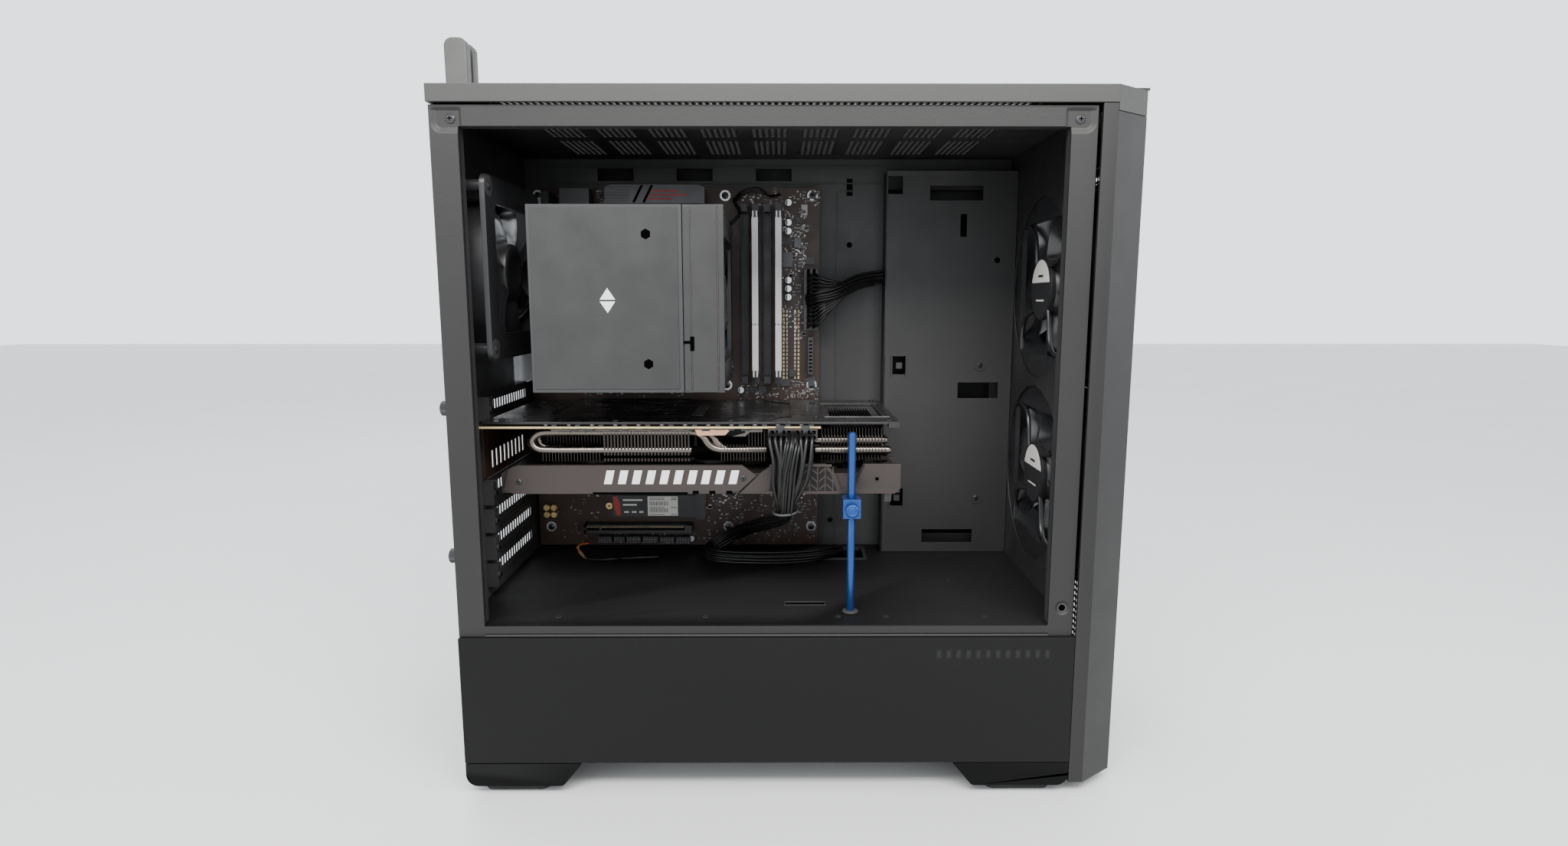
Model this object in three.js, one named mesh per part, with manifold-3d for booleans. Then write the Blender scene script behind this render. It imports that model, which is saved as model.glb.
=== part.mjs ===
// A mid-tower desktop computer with its near side panel off, in millimetres, +Z up.
// The tower is laid out in a case frame: x grows from the rear steel panel to the front, y from the open
// near side to the far side, and z from the desk. The finished group is then centred on the origin.
import * as THREE from 'three';
import { mergeVertices } from 'three/addons/utils/BufferGeometryUtils.js';
import Module from 'manifold-3d';

const wasm = await Module();
wasm.setup();

// ---------------------------------------------------------------- driving dimensions

// Case
const chassisLength = 409.2;
const chassisWidth = 206;
const chassisTop = 452;
const sheet = 1;
const gap = 0.3;
const footHeight = 22.2;
const panBottom = footHeight + gap;
const fit = 0.3;
const flangeDepth = 8;
const farFlange = 12;
const rearRail = 17.4;
const frontRail = 16.1;
const topRail = 12.6;
const shroudLip = 7;
const shroudTopZ = 119;
const trayY = 186.1;
const skirtDepth = 4;
const plasticWall = 2.5;
const coverBand = 10.8;
const coverGap = 1.1;
const coverOverhang = 0.6;
const bevelLength = 24.4;
const bevelDepth = 17.5;
const frontPanelDepth = 33.8;
const frontPanelGap = 2;
const frontPanelBottom = 8;
const seamDrop = 4.7;
const coverPlateY = 164.5;
const coverPlateX = 301;

// Fans
const rearFanSize = 120;
const rearFanDepth = 25;
const rearFanY = 75;
const rearFanZ = 354.7;
const frontFanSize = 140;
const frontFanDepth = 25;
const frontFanY = 100;
const frontFanZ = [203, 343];
const fanWall = 3;
const bladeTip = 1.5;

// Board
const boardX = 3.7;
const boardLength = 243.8;
const boardHeight = 304.8;
const boardBottom = 121.8;
const boardY = 178.1;
const boardThickness = 1.6;
const slotPitch = 20.32;
const firstSlotZ = 258;
const slotCount = 7;
const slotNearY = 64;
const slotFarY = 164;
const portsBottom = 266.5;
const portsHeight = 158.8;
const portsNearY = 136;
const portsFarY = 181;

// Memory
const dimmPitch = 9.3;
const firstDimmX = 185;
const dimmSlotLength = 146;
const dimmZ = 338.5;
const dimmWidth = 6.4;
const moduleHeight = 35;
const moduleLength = 133.4;
const moduleThickness = 4.4;

// Cooler
const coolerX = 53;
const coolerLength = 98;
const coolerBottom = 274.2;
const coolerHeight = 120.4;
const coolerNearY = 12;
const finTopY = 16;
const finCount = 17;
const finPitch = 6.2;
const finThickness = 1.2;
const finDepth = 24;
const coolerFanSize = 120;
const coolerFanDepth = 25;

// Graphics card
const cardBoardZ = 246.8;
const cardBoardEnd = 242.5;
const cardNearY = 35;
const cardFarY = 166;
const cardEnd = 298;
const cardBottom = 201;
const cardShroudTop = 222;
const cardFinStart = 42;
const cardFinEnd = 288;
const cardFinCount = 30;
const cardFinThickness = 1.6;
const cardFinDepth = 18;
const cardFanRadius = 43;
const cardFanX = [72, 163, 254];
const cardFanClearance = 1.5;

// Power supply
const supplyLength = 140;
const supplyWidth = 150;
const supplyHeight = 86;
const supplyY = 22;
const supplyFanRadius = 60;
const supplyFanDepth = 25;

// Brace
const poleX = 263;
const poleY = 24;
const poleRadius = 2.7;
const poleTop = 246;

// Antennas
const antennaZ = 335;
const antennaY = [154, 170];
const antennaReach = 37.5;
const bladeTop = 536;
const bladeWidth = 18;
const bladeThickness = 9;

// ---------------------------------------------------------------- helpers

const tower = new THREE.Group();

// A closed three.js geometry as a manifold solid.
function solid(geometry) {
  const bare = geometry.index ? geometry.toNonIndexed() : geometry.clone();
  bare.deleteAttribute('normal');
  bare.deleteAttribute('uv');
  const merged = mergeVertices(bare, 1e-4);
  return new wasm.Manifold(new wasm.Mesh({
    numProp: 3,
    vertProperties: new Float32Array(merged.attributes.position.array),
    triVerts: new Uint32Array(merged.index.array),
  }));
}

function join(...solids) {
  return solids.flat().reduce((whole, next) => whole.add(next));
}

function cut(base, ...tools) {
  return tools.flat().reduce((whole, next) => whole.subtract(next), base);
}

// A solid's geometry, ready for a mesh.
function toGeometry(shape) {
  const mesh = shape.getMesh();
  const geometry = new THREE.BufferGeometry();
  geometry.setAttribute('position', new THREE.BufferAttribute(mesh.vertProperties, 3));
  geometry.setIndex(new THREE.BufferAttribute(mesh.triVerts, 1));
  return geometry;
}

// A box between two corners.
function block(x0, x1, y0, y1, z0, z1) {
  const box = new THREE.BoxGeometry(x1 - x0, y1 - y0, z1 - z0);
  box.translate((x0 + x1) / 2, (y0 + y1) / 2, (z0 + z1) / 2);
  return solid(box);
}

const layAlong = {
  x: new THREE.Matrix4().makeBasis(
    new THREE.Vector3(0, 1, 0), new THREE.Vector3(0, 0, 1), new THREE.Vector3(1, 0, 0)),
  y: new THREE.Matrix4().makeBasis(
    new THREE.Vector3(0, 0, 1), new THREE.Vector3(1, 0, 0), new THREE.Vector3(0, 1, 0)),
  z: new THREE.Matrix4(),
};

// An outline pushed along one axis. The outline's own axes are (y, z) for x, (z, x) for y, (x, y) for z.
function prism(axis, outline, from, to) {
  const options = { depth: to - from, bevelEnabled: false, curveSegments: 4 };
  const geometry = new THREE.ExtrudeGeometry(outline, options);
  geometry.translate(0, 0, from);
  geometry.applyMatrix4(layAlong[axis]);
  return solid(geometry);
}

// A cylinder along one axis, with its centre given in the outline's own axes.
function rod(axis, u, v, radius, from, to, sides = 16) {
  const cylinder = new THREE.CylinderGeometry(radius, radius, to - from, sides);
  cylinder.rotateX(Math.PI / 2);
  cylinder.translate(u, v, (from + to) / 2);
  cylinder.applyMatrix4(layAlong[axis]);
  return solid(cylinder);
}

function polygon(points) {
  return new THREE.Shape(points.map(([u, v]) => new THREE.Vector2(u, v)));
}

// A rectangle with round corners.
function roundRect(u0, u1, v0, v1, radius) {
  const shape = new THREE.Shape();
  shape.absarc(u1 - radius, v0 + radius, radius, -Math.PI / 2, 0);
  shape.absarc(u1 - radius, v1 - radius, radius, 0, Math.PI / 2);
  shape.absarc(u0 + radius, v1 - radius, radius, Math.PI / 2, Math.PI);
  shape.absarc(u0 + radius, v0 + radius, radius, Math.PI, 1.5 * Math.PI);
  shape.closePath();
  return shape;
}

// The numbers first, first + step, ... up to count of them.
function series(count, first, step) {
  return Array.from({ length: count }, (unused, index) => first + index * step);
}

const finish = {
  steel: { color: 0x26262a, roughness: 0.62, metalness: 0.35 },
  plastic: { color: 0x2b2a2b, roughness: 0.55, metalness: 0 },
  gloss: { color: 0x101012, roughness: 0.2, metalness: 0 },
  rubber: { color: 0x101010, roughness: 0.9, metalness: 0 },
  fan: { color: 0x161618, roughness: 0.5, metalness: 0 },
  board: { color: 0x1c1613, roughness: 0.5, metalness: 0.05 },
  metal: { color: 0x9a9ca0, roughness: 0.35, metalness: 0.9 },
  darkMetal: { color: 0x3a3a3e, roughness: 0.45, metalness: 0.7 },
  bronze: { color: 0x4a413d, roughness: 0.45, metalness: 0.5 },
  module: { color: 0x85878b, roughness: 0.4, metalness: 0.7 },
  blue: { color: 0x2b57ad, roughness: 0.35, metalness: 0.7 },
  antenna: { color: 0x5a5a5c, roughness: 0.6, metalness: 0 },
  cable: { color: 0x0c0c0d, roughness: 0.6, metalness: 0 },
};

// Adds one named piece to the tower, or to the group given.
function piece(name, shape, look, parent = tower) {
  const mesh = new THREE.Mesh(toGeometry(shape), new THREE.MeshStandardMaterial(finish[look]));
  mesh.name = name;
  parent.add(mesh);
  return mesh;
}

// ---------------------------------------------------------------- shared places

const inner = sheet + gap;
const farInner = chassisWidth - sheet - gap;
const frontSheetX = chassisLength - sheet;
const panTop = panBottom + sheet;
const lipBottom = shroudTopZ - shroudLip;
const coverBottom = chassisTop + coverGap;
const coverTop = coverBottom + coverBand;
const frontStart = chassisLength + frontPanelGap;
const frontFace = frontStart + frontPanelDepth;
const bevelStart = frontFace - bevelLength;
const nearFace = -skirtDepth;
const sidePanelY = chassisWidth + gap;
const farFace = sidePanelY + sheet;
const slotZ = series(slotCount, firstSlotZ, -slotPitch);
const portsTop = portsBottom + portsHeight;
const supplyX = inner;
const supplyBottom = panTop + 2.2;
const supplyTop = supplyBottom + supplyHeight;
const coolerEnd = coolerX + coolerLength;
const coolerMidZ = coolerBottom + coolerHeight / 2;
const coolerMidX = coolerX + coolerLength / 2;
const coolerFanX = coolerEnd + fit;
const moduleX = [firstDimmX + dimmPitch, firstDimmX + 3 * dimmPitch];
const bracketX = inner;

// ---------------------------------------------------------------- chassis

const slotCoverX = -sheet - gap;
const slotScrewY = 12;
const slotScrewZ = [164, 264];
const panelScrewY = 198;
const panelScrewZ = [80, 400];
const screwShank = 1.8;
const screwHole = screwShank + 0.4;
const cardSlots = [1, 2];
const ventHeight = 7;
const mountHole = 2;
const railScrewZ = 444;

function rearPanel() {
  const plate = prism('z', polygon([
    [0, 0], [rearRail, 0], [rearRail, sheet], [sheet, sheet], [sheet, chassisWidth - sheet],
    [farFlange, chassisWidth - sheet], [farFlange, chassisWidth], [0, chassisWidth],
  ]), panBottom, chassisTop);
  const railReturn = block(rearRail - sheet, rearRail - 0.01, sheet / 2, flangeDepth,
    shroudTopZ + inner, chassisTop - topRail);
  const vents = slotZ.map((z, index) => {
    const half = cardSlots.includes(index) ? slotPitch / 2 + fit : ventHeight / 2;
    return block(-1, 2, slotNearY, slotFarY, z - half, z + half);
  });
  const supplyHole = block(-1, 2, supplyY + 4, supplyY + supplyWidth - 4, supplyBottom + 3, supplyTop - 3);
  const portsHole = block(-1, 2, portsNearY, portsFarY, portsBottom, portsTop);
  const fanHole = rod('x', rearFanY, rearFanZ, rearFanSize / 2 - fanWall, -1, 2, 24);
  const panelScrewHoles = panelScrewZ.map((z) => rod('x', panelScrewY, z, screwHole, -1, 2, 12));
  const slotScrewHoles = slotScrewZ.map((z) => rod('x', slotScrewY, z, screwHole, -1, 2, 12));
  const glassHole = rod('y', railScrewZ, rearRail - 4.5, mountHole, -1, 2, 12);
  return cut(
    join(plate, railReturn),
    vents, supplyHole, portsHole, fanHole, panelScrewHoles, slotScrewHoles, glassHole);
}

const topVentY = [40, 110];
const topVentWidth = 56;
const topVentSlots = 9;
const topVentPitch = 36;
const topVentStart = 50;
const topVentSlot = 26;

function topPanel() {
  const x0 = inner;
  const x1 = frontSheetX - gap;
  const plate = block(x0, x1, inner, farInner, chassisTop - sheet, chassisTop);
  const railX0 = rearRail + gap;
  const railX1 = chassisLength - frontRail - gap;
  const railBottom = chassisTop - topRail;
  const rail = block(railX0, railX1, 0, sheet, railBottom, chassisTop);
  const bridge = block(railX0, railX1, 0, inner + 1, chassisTop - sheet, chassisTop);
  const railReturn = block(railX0, railX1, 0, flangeDepth, railBottom, railBottom + sheet);
  const slots = series(topVentSlots, topVentStart, topVentPitch).flatMap((x) => topVentY.map((y) => (
    block(x, x + topVentSlot, y, y + topVentWidth, chassisTop - 2, chassisTop + 1))));
  return cut(join(plate, rail, bridge, railReturn), slots);
}

function frontFrame() {
  const bottom = shroudTopZ + inner;
  const railX = chassisLength - frontRail;
  const farX = chassisLength - farFlange;
  const plate = prism('z', polygon([
    [chassisLength, 0], [chassisLength, chassisWidth], [farX, chassisWidth], [farX, chassisWidth - sheet],
    [frontSheetX, chassisWidth - sheet], [frontSheetX, sheet], [railX, sheet], [railX, 0],
  ]), panBottom, chassisTop);
  const lowRail = block(railX - 1, frontSheetX, -1, sheet + 1, panBottom - 1, lipBottom);
  const railReturn = block(railX + 0.01, railX + sheet, sheet / 2, flangeDepth, bottom, chassisTop - topRail);
  const fanHoles = frontFanZ.map((z) => (
    rod('x', frontFanY, z, frontFanSize / 2 - fanWall, frontSheetX - 1, chassisLength + 1, 24)));
  const glassHoles = [railScrewZ, lipBottom + 19].map((z) => (
    rod('y', z, chassisLength - 8, mountHole, -1, 2, 12)));
  return cut(join(cut(plate, lowRail), railReturn), fanHoles, glassHoles);
}

const processorCutout = { x0: 60, x1: 180, z0: 270, z1: 400 };
const cableCutout = { x0: coverPlateX + 3, x1: 395, z0: 130, z1: 426 };

function tray() {
  const plate = block(inner, frontSheetX - gap, trayY, trayY + sheet, shroudTopZ + gap, chassisTop - inner);
  const y0 = trayY - 1;
  const y1 = trayY + sheet + 1;
  const { x0, x1, z0, z1 } = processorCutout;
  const processorHole = block(x0, x1, y0, y1, z0, z1);
  const cableHole = block(cableCutout.x0, cableCutout.x1, y0, y1, cableCutout.z0, cableCutout.z1);
  const tieSlot = block(270, 275, y0, y1, 421, 435);
  const boltHoles = [[258.3, 142], [272.9, 380.7]].map(([x, z]) => rod('y', z, x, 2.4, y0, y1, 12));
  const topSlots = [62, 128, 194].map((x) => block(x, x + 30, y0, y1, 433, 443));
  return cut(plate, processorHole, cableHole, tieSlot, boltHoles, topSlots);
}

const panVent = { x0: 18, x1: 138, y0: 38, y1: 158, slots: 8 };

function bottomPan() {
  const plate = block(inner, frontSheetX - gap, inner, farInner, panBottom, panTop);
  const flange = block(rearRail + gap, frontSheetX - gap, 0, sheet, panBottom, panBottom + flangeDepth);
  const bridge = block(rearRail + gap, frontSheetX - gap, 0, inner + 1, panBottom, panTop);
  const pitch = (panVent.x1 - panVent.x0) / panVent.slots;
  const slots = series(panVent.slots, panVent.x0, pitch).map((x) => (
    block(x, x + pitch - 5, panVent.y0, panVent.y1, panBottom - 1, panTop + 1)));
  return cut(join(plate, flange, bridge), slots);
}

const leadHole = { x0: 240, x1: 286, y0: 144, y1: 176 };

function shroudTop() {
  const nearX0 = rearRail + gap;
  const nearX1 = chassisLength - frontRail - gap;
  const plate = block(inner, frontSheetX - gap, inner, farInner, shroudTopZ - sheet, shroudTopZ);
  const bridge = block(nearX0, nearX1, 0, inner + 1, shroudTopZ - sheet, shroudTopZ);
  const lip = block(nearX0, nearX1, 0, sheet, lipBottom, shroudTopZ);
  const tieSlot = block(218, 246, 38, 44, shroudTopZ - 2, shroudTopZ + 1);
  const { x0, x1, y0, y1 } = leadHole;
  const leads = block(x0, x1, y0, y1, shroudTopZ - 2, shroudTopZ + 1);
  const backLeads = block(60, 380, trayY + sheet + 1, farInner - 1, shroudTopZ - 2, shroudTopZ + 1);
  return cut(join(plate, bridge, lip), tieSlot, leads, backLeads);
}

function shroudSideCover() {
  const z0 = panBottom + gap;
  const z1 = lipBottom - gap;
  const x1 = frontStart - gap;
  const skin = block(0, x1, nearFace, nearFace + sheet, z0, z1);
  const edges = [
    block(0, x1, nearFace, -gap, z1 - sheet, z1),
    block(0, x1, nearFace, -gap, z0, z0 + sheet),
    block(0, sheet, nearFace, -gap, z0, z1),
    block(x1 - sheet, x1, nearFace, -gap, z0, z1),
  ];
  return join(skin, edges);
}

function cableCoverPlate() {
  const x1 = frontSheetX - gap;
  const z0 = shroudTopZ + gap;
  const z1 = 438.2;
  const back = trayY - gap;
  const y0 = coverPlateY - 1;
  const y1 = coverPlateY + 2;
  const skin = block(coverPlateX, x1, coverPlateY, coverPlateY + sheet, z0, z1);
  const feet = [z0, z1 - sheet].map((z) => block(coverPlateX, x1, coverPlateY, back, z, z + sheet));
  const slots = [
    [336.4, 379.6, 415, 426.4],
    [362, 367, 386, 404],
    [363.6, 397.3, 252.8, 266],
    [336.2, 379.3, 127.8, 139.1],
    [308, 319, 273, 288],
    [308, 319, 160, 175],
  ].map(([a, b, c, d]) => block(a, b, y0, y1, c, d));
  const notch = block(coverPlateX - 1, 314, y0, y1, 420, 434);
  const hole = rod('y', 367, 393.1, 2.4, y0, y1, 12);
  return cut(join(skin, feet), slots, notch, hole);
}

// ---------------------------------------------------------------- covers

// The plan outline shared by the top cover and the front panel: both front corners are bevelled.
function bevelledPlan(x0, inset) {
  const slope = inset * Math.tan((Math.PI / 2 - Math.atan2(bevelDepth, bevelLength)) / 2);
  return polygon([
    [x0, nearFace + inset],
    [bevelStart - inset * 0.35, nearFace + inset],
    [frontFace - inset, nearFace + bevelDepth + slope],
    [frontFace - inset, farFace - bevelDepth - slope],
    [bevelStart - inset * 0.35, farFace - inset],
    [x0, farFace - inset],
  ]);
}

const filterX0 = 24;
const filterX1 = 386;
const filterY0 = 26;
const filterY1 = 178;
const filterThickness = 1.2;
const stripX0 = 422;
const stripX1 = frontFace + 1.3;
const stripY0 = nearFace + bevelDepth + 0.3;
const stripY1 = farFace - bevelDepth - 0.3;
const stripThickness = 1.6;
const portBoxX0 = 425;
const portBoxX1 = 440;
const portBoxY0 = 44;
const portBoxY1 = 160;
const portBoxBottom = coverTop - 8.6;

function topCover() {
  const outer = prism('z', bevelledPlan(-coverOverhang, 0), coverBottom - seamDrop, coverTop);
  const hollow = prism('z', bevelledPlan(-coverOverhang + plasticWall, plasticWall),
    coverBottom - seamDrop - 1, coverTop - plasticWall);
  const overSides = block(-5, bevelStart, nearFace - 1, farFace + 1, coverBottom - seamDrop - 1, coverBottom);
  const filterHole = block(filterX0 - fit, filterX1 + fit, filterY0 - fit, filterY1 + fit,
    coverTop - plasticWall - 1, coverTop + 1);
  const portHole = block(portBoxX0 - fit, portBoxX1 + fit, portBoxY0 - fit, portBoxY1 + fit,
    coverTop - plasticWall - 1, coverTop + 1);
  return cut(outer, hollow, overSides, filterHole, portHole);
}

function topFilter() {
  const plate = block(filterX0, filterX1, filterY0, filterY1, coverTop - filterThickness, coverTop);
  const columns = 8;
  const pitch = (filterX1 - filterX0 - 12) / columns;
  const slots = series(columns, filterX0 + 9, pitch).flatMap((x) => [0, 1].map((row) => {
    const y0 = filterY0 + 8 + row * 70;
    return block(x, x + pitch - 6, y0, y0 + 64, coverTop - 2, coverTop + 1);
  }));
  return cut(plate, slots);
}

const meshY0 = 32;
const meshY1 = farFace + nearFace - meshY0;
const meshZ0 = 42;
const meshZ1 = 428;

function frontPanel() {
  const seam = coverBottom - seamDrop - gap;
  const sideTop = coverBottom - gap;
  const outer = prism('z', bevelledPlan(frontStart, 0), frontPanelBottom, seam);
  const hollow = prism('z', bevelledPlan(frontStart - 1, plasticWall),
    frontPanelBottom + plasticWall, seam - plasticWall);
  const shoulders = [nearFace, farFace - plasticWall].map((y) => (
    block(frontStart, bevelStart - gap, y, y + plasticWall, seam - 1, sideTop)));
  const insert = block(frontFace - plasticWall - 1, frontFace + 1, meshY0 - fit, meshY1 + fit,
    meshZ0 - fit, meshZ1 + fit);
  return join(cut(outer, hollow, insert), shoulders);
}

function frontMesh() {
  const x1 = frontFace - 0.5;
  const plate = block(x1 - 1.5, x1, meshY0, meshY1, meshZ0, meshZ1);
  const columns = 7;
  const pitch = (meshY1 - meshY0 - 12) / columns;
  const rows = 3;
  const rowPitch = (meshZ1 - meshZ0 - 12) / rows;
  const slots = series(columns, meshY0 + 8, pitch).flatMap((y) => (
    series(rows, meshZ0 + 9, rowPitch).map((z) => (
      block(x1 - 3, x1 + 1, y, y + pitch - 4, z, z + rowPitch - 6)))));
  return cut(plate, slots);
}

const powerY = 60;
const powerRadius = 6.5;
const resetY = 78;
const resetRadius = 2.6;
const buttonX = 432.5;
const buttonClearance = 0.3;
const powerTravel = 1.2;
const usbY = [98, 120];
const stripTop = coverTop + gap + stripThickness;

function ioPanel() {
  const strip = block(stripX0, stripX1, stripY0, stripY1, coverTop + gap, stripTop);
  const box = block(portBoxX0, portBoxX1, portBoxY0, portBoxY1, portBoxBottom, coverTop + gap + 0.5);
  const buttonFloor = portBoxBottom + 1.5;
  const holes = [
    rod('z', buttonX, powerY, powerRadius + buttonClearance, buttonFloor, stripTop + 1),
    rod('z', buttonX, resetY, resetRadius + buttonClearance, buttonFloor, stripTop + 1, 16),
    rod('z', buttonX, 142, 1.8, buttonFloor, stripTop + 1, 12),
    rod('z', buttonX, 152, 1.8, buttonFloor, stripTop + 1, 12),
  ];
  const sockets = usbY.map((y) => (
    block(buttonX - 2.6, buttonX + 2.6, y - 6.6, y + 6.6, buttonFloor, stripTop + 1)));
  const tongues = usbY.map((y) => (
    block(buttonX - 0.9, buttonX + 0.9, y - 5.6, y + 5.6, portBoxBottom, stripTop - 1)));
  return join(cut(join(strip, box), holes, sockets), tongues);
}

function button(y, radius, proud) {
  const bottom = portBoxBottom + 1.5 + powerTravel + 0.3;
  const cap = rod('z', buttonX, y, radius, bottom, stripTop + proud, 20);
  const dish = rod('z', buttonX, y, radius * 0.6, stripTop + proud - 0.3, stripTop + 2, 16);
  return cut(cap, dish);
}

function sidePanel() {
  const x0 = slotCoverX;
  const x1 = chassisLength;
  const z0 = panBottom + gap;
  const z1 = chassisTop;
  const skin = block(x0, x1, sidePanelY, farFace, z0, z1);
  const rearFlange = block(x0, x0 + sheet, farFace - 18, farFace, z0, z1);
  const screwHoles = panelScrewZ.map((z) => rod('x', panelScrewY, z, screwHole, x0 - 1, x0 + 2, 12));
  return cut(join(skin, rearFlange), screwHoles);
}

// A thumbscrew along x: a grooved head outside and a plain shank through its hole.
function thumbscrew(y, z, headFrom) {
  const headRadius = 5;
  const headLength = 6.5;
  const head = rod('x', y, z, headRadius, headFrom - headLength, headFrom, 20);
  const shank = rod('x', y, z, screwShank, headFrom - 1, headFrom + 8, 12);
  const slot = block(headFrom - headLength - 1, headFrom - headLength + 1.2, y - 0.8, y + 0.8, z - 6, z + 6);
  return cut(join(head, shank), slot);
}

function slotCover() {
  const plate = prism('x', roundRect(5, 48, 124, 272, 3), slotCoverX, slotCoverX + sheet);
  const holes = slotScrewZ.map((z) => rod('x', slotScrewY, z, screwHole, slotCoverX - 1, slotCoverX + 2, 12));
  return cut(plate, holes);
}

// ---------------------------------------------------------------- feet

const footWidth = 42;
const footTopLength = 79;
const footBottomLength = 64.5;
const footSole = 6;
const footCorner = 8;
const padInset = 10;
const padMargin = 6;

// A foot about its own middle plane, with its outer end at x = 0. From the side it has a square top, a round
// outer lower corner, a sloping inner end and a rubber pad below.
function foot() {
  const outline = new THREE.Shape();
  outline.moveTo(0, footHeight);
  outline.lineTo(0, footSole + footCorner);
  outline.absarc(footCorner, footSole + footCorner, footCorner, Math.PI, 1.5 * Math.PI);
  outline.lineTo(footBottomLength, footSole);
  outline.lineTo(footTopLength, footHeight);
  const options = { depth: footWidth, bevelEnabled: false, curveSegments: 6 };
  const geometry = new THREE.ExtrudeGeometry(outline, options);
  geometry.rotateX(Math.PI / 2);
  geometry.translate(0, footWidth / 2, 0);
  const body = solid(geometry);
  const padHalf = footWidth / 2 - padMargin;
  const pad = prism('z', roundRect(padInset, footBottomLength - padInset, -padHalf, padHalf, 6),
    0, footSole + 0.5);
  return join(body, pad);
}

function feet() {
  const rearX = 0.3;
  const frontX = frontStart - gap;
  const places = [
    ['foot_rear_near', rearX, 0, nearFace],
    ['foot_rear_far', rearX, 0, farFace - footWidth],
    ['foot_front_near', frontX, Math.PI, nearFace],
    ['foot_front_far', frontX, Math.PI, farFace - footWidth],
  ];
  for (const [name, x, turn, y] of places) {
    const place = piece(name, foot(), 'rubber');
    place.rotation.z = turn;
    place.position.set(x, y + footWidth / 2, 0);
  }
}

// ---------------------------------------------------------------- fans

// A square fan frame about the x axis, from x = 0 to its depth, with four struts to its motor seat.
function fanFrame(size, depth) {
  const half = size / 2;
  const strutDepth = 3;
  const strutWidth = 5;
  const seat = size * 0.17;
  const outer = prism('x', roundRect(-half, half, -half, half, 6), 0, depth);
  const duct = rod('x', 0, 0, half - fanWall, -1, depth + 1, 24);
  const struts = [0, 1].map((turn) => {
    const bar = new THREE.BoxGeometry(strutDepth, strutWidth, size - 1);
    bar.translate(strutDepth / 2, 0, 0);
    bar.rotateX(THREE.MathUtils.degToRad(45 + 90 * turn));
    return solid(bar);
  });
  const motor = rod('x', 0, 0, seat, 0, strutDepth, 16);
  const holes = [-1, 1].flatMap((a) => [-1, 1].map((b) => (
    rod('x', a * (half - 7.5), b * (half - 7.5), 2.2, -1, depth + 1, 8))));
  return join(cut(outer, duct, holes), struts, motor);
}

// A rotor about the x axis: a cup, and pitched blades held inside the rotor's own swept cylinder.
function rotor(tipRadius, hubRadius, from, to, blades, pitch) {
  const hub = rod('x', 0, 0, hubRadius, from, to, 16);
  const depth = to - from;
  const chord = Math.min((depth - 1) / Math.cos(THREE.MathUtils.degToRad(pitch)), tipRadius * 0.7);
  const reach = tipRadius - hubRadius + 10;
  const swept = rod('x', 0, 0, tipRadius, from + 0.3, to - 0.3, 20);
  const all = series(blades, 0, 360 / blades).map((turn) => {
    const blade = new THREE.BoxGeometry(chord, 1.6, reach);
    blade.rotateZ(THREE.MathUtils.degToRad(pitch));
    blade.translate((from + to) / 2, 0, hubRadius + reach / 2 - 3);
    blade.rotateX(THREE.MathUtils.degToRad(turn));
    return solid(blade).intersect(swept);
  });
  return join(hub, all);
}

// A framed fan about x: its frame starts at x, and its rotor turns just inside the duct.
function framedFan(name, size, depth, x, y, z, blades) {
  const place = new THREE.Group();
  place.position.set(x, y, z);
  tower.add(place);
  piece(`${name}_frame`, fanFrame(size, depth), 'fan', place);
  const tip = size / 2 - fanWall - bladeTip;
  piece(`${name}_rotor`, rotor(tip, size * 0.16, 4, depth - 1.5, blades, 40), 'fan', place);
}

// ---------------------------------------------------------------- power supply

const inletY = 60;
const switchY = 100;
const switchHalf = 6.5;

function powerSupply() {
  const x1 = supplyX + supplyLength;
  const y1 = supplyY + supplyWidth;
  const body = block(supplyX, x1, supplyY, y1, supplyBottom, supplyTop);
  const midX = supplyX + supplyLength / 2;
  const midY = supplyY + supplyWidth / 2;
  const duct = rod('z', midX, midY, supplyFanRadius + 2, supplyBottom - 1, supplyBottom + supplyFanDepth, 24);
  const vents = series(9, supplyY + 12, 14.5).map((y) => (
    block(supplyX - 1, supplyX + 30, y, y + 8, supplyBottom + 40, supplyTop - 8)));
  const inlet = block(supplyX - 1, supplyX + 16, inletY - 12, inletY + 12,
    supplyBottom + 8, supplyBottom + 25);
  const pins = [-7, 0, 7].map((y, index) => {
    const z = supplyBottom + (index === 1 ? 18 : 14);
    return block(supplyX + 2, supplyX + 17, inletY + y - 1, inletY + y + 1, z - 2.5, z + 2.5);
  });
  const pocket = block(supplyX - 1, supplyX + 10, switchY - switchHalf - fit, switchY + switchHalf + fit,
    supplyBottom + 6, supplyBottom + 26);
  return join(cut(body, duct, vents, inlet, pocket), pins);
}

// A rocker that tips about the y axis, with one end in and the other end out.
function rocker() {
  const midZ = supplyBottom + 16;
  const outline = polygon([
    [midZ - 8, supplyX + 3.2], [midZ - 8, supplyX + 0.2], [midZ, supplyX + 1.2], [midZ + 8, supplyX + 0.2],
    [midZ + 8, supplyX + 3.2], [midZ, supplyX + 7],
  ]);
  return prism('y', outline, switchY - switchHalf, switchY + switchHalf);
}

// ---------------------------------------------------------------- board

const cardSlotZ = cardBoardZ + 0.8;
const lowerSlotZ = 139;
const cardSlotX0 = 45;
const cardSlotLength = 89;
const cardSlotHeight = 11.3;
const fingerDepth = 7.5;
const standoffRadius = 2.8;
const holeColumns = [10.16, 165.1, 237.49];
const holeRows = [16.51, 140.97, 298.45];
const socketSize = 44;
const leadSocket = { x0: 234.6, x1: 244.9, z0: 309, z1: 360.4 };

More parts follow.
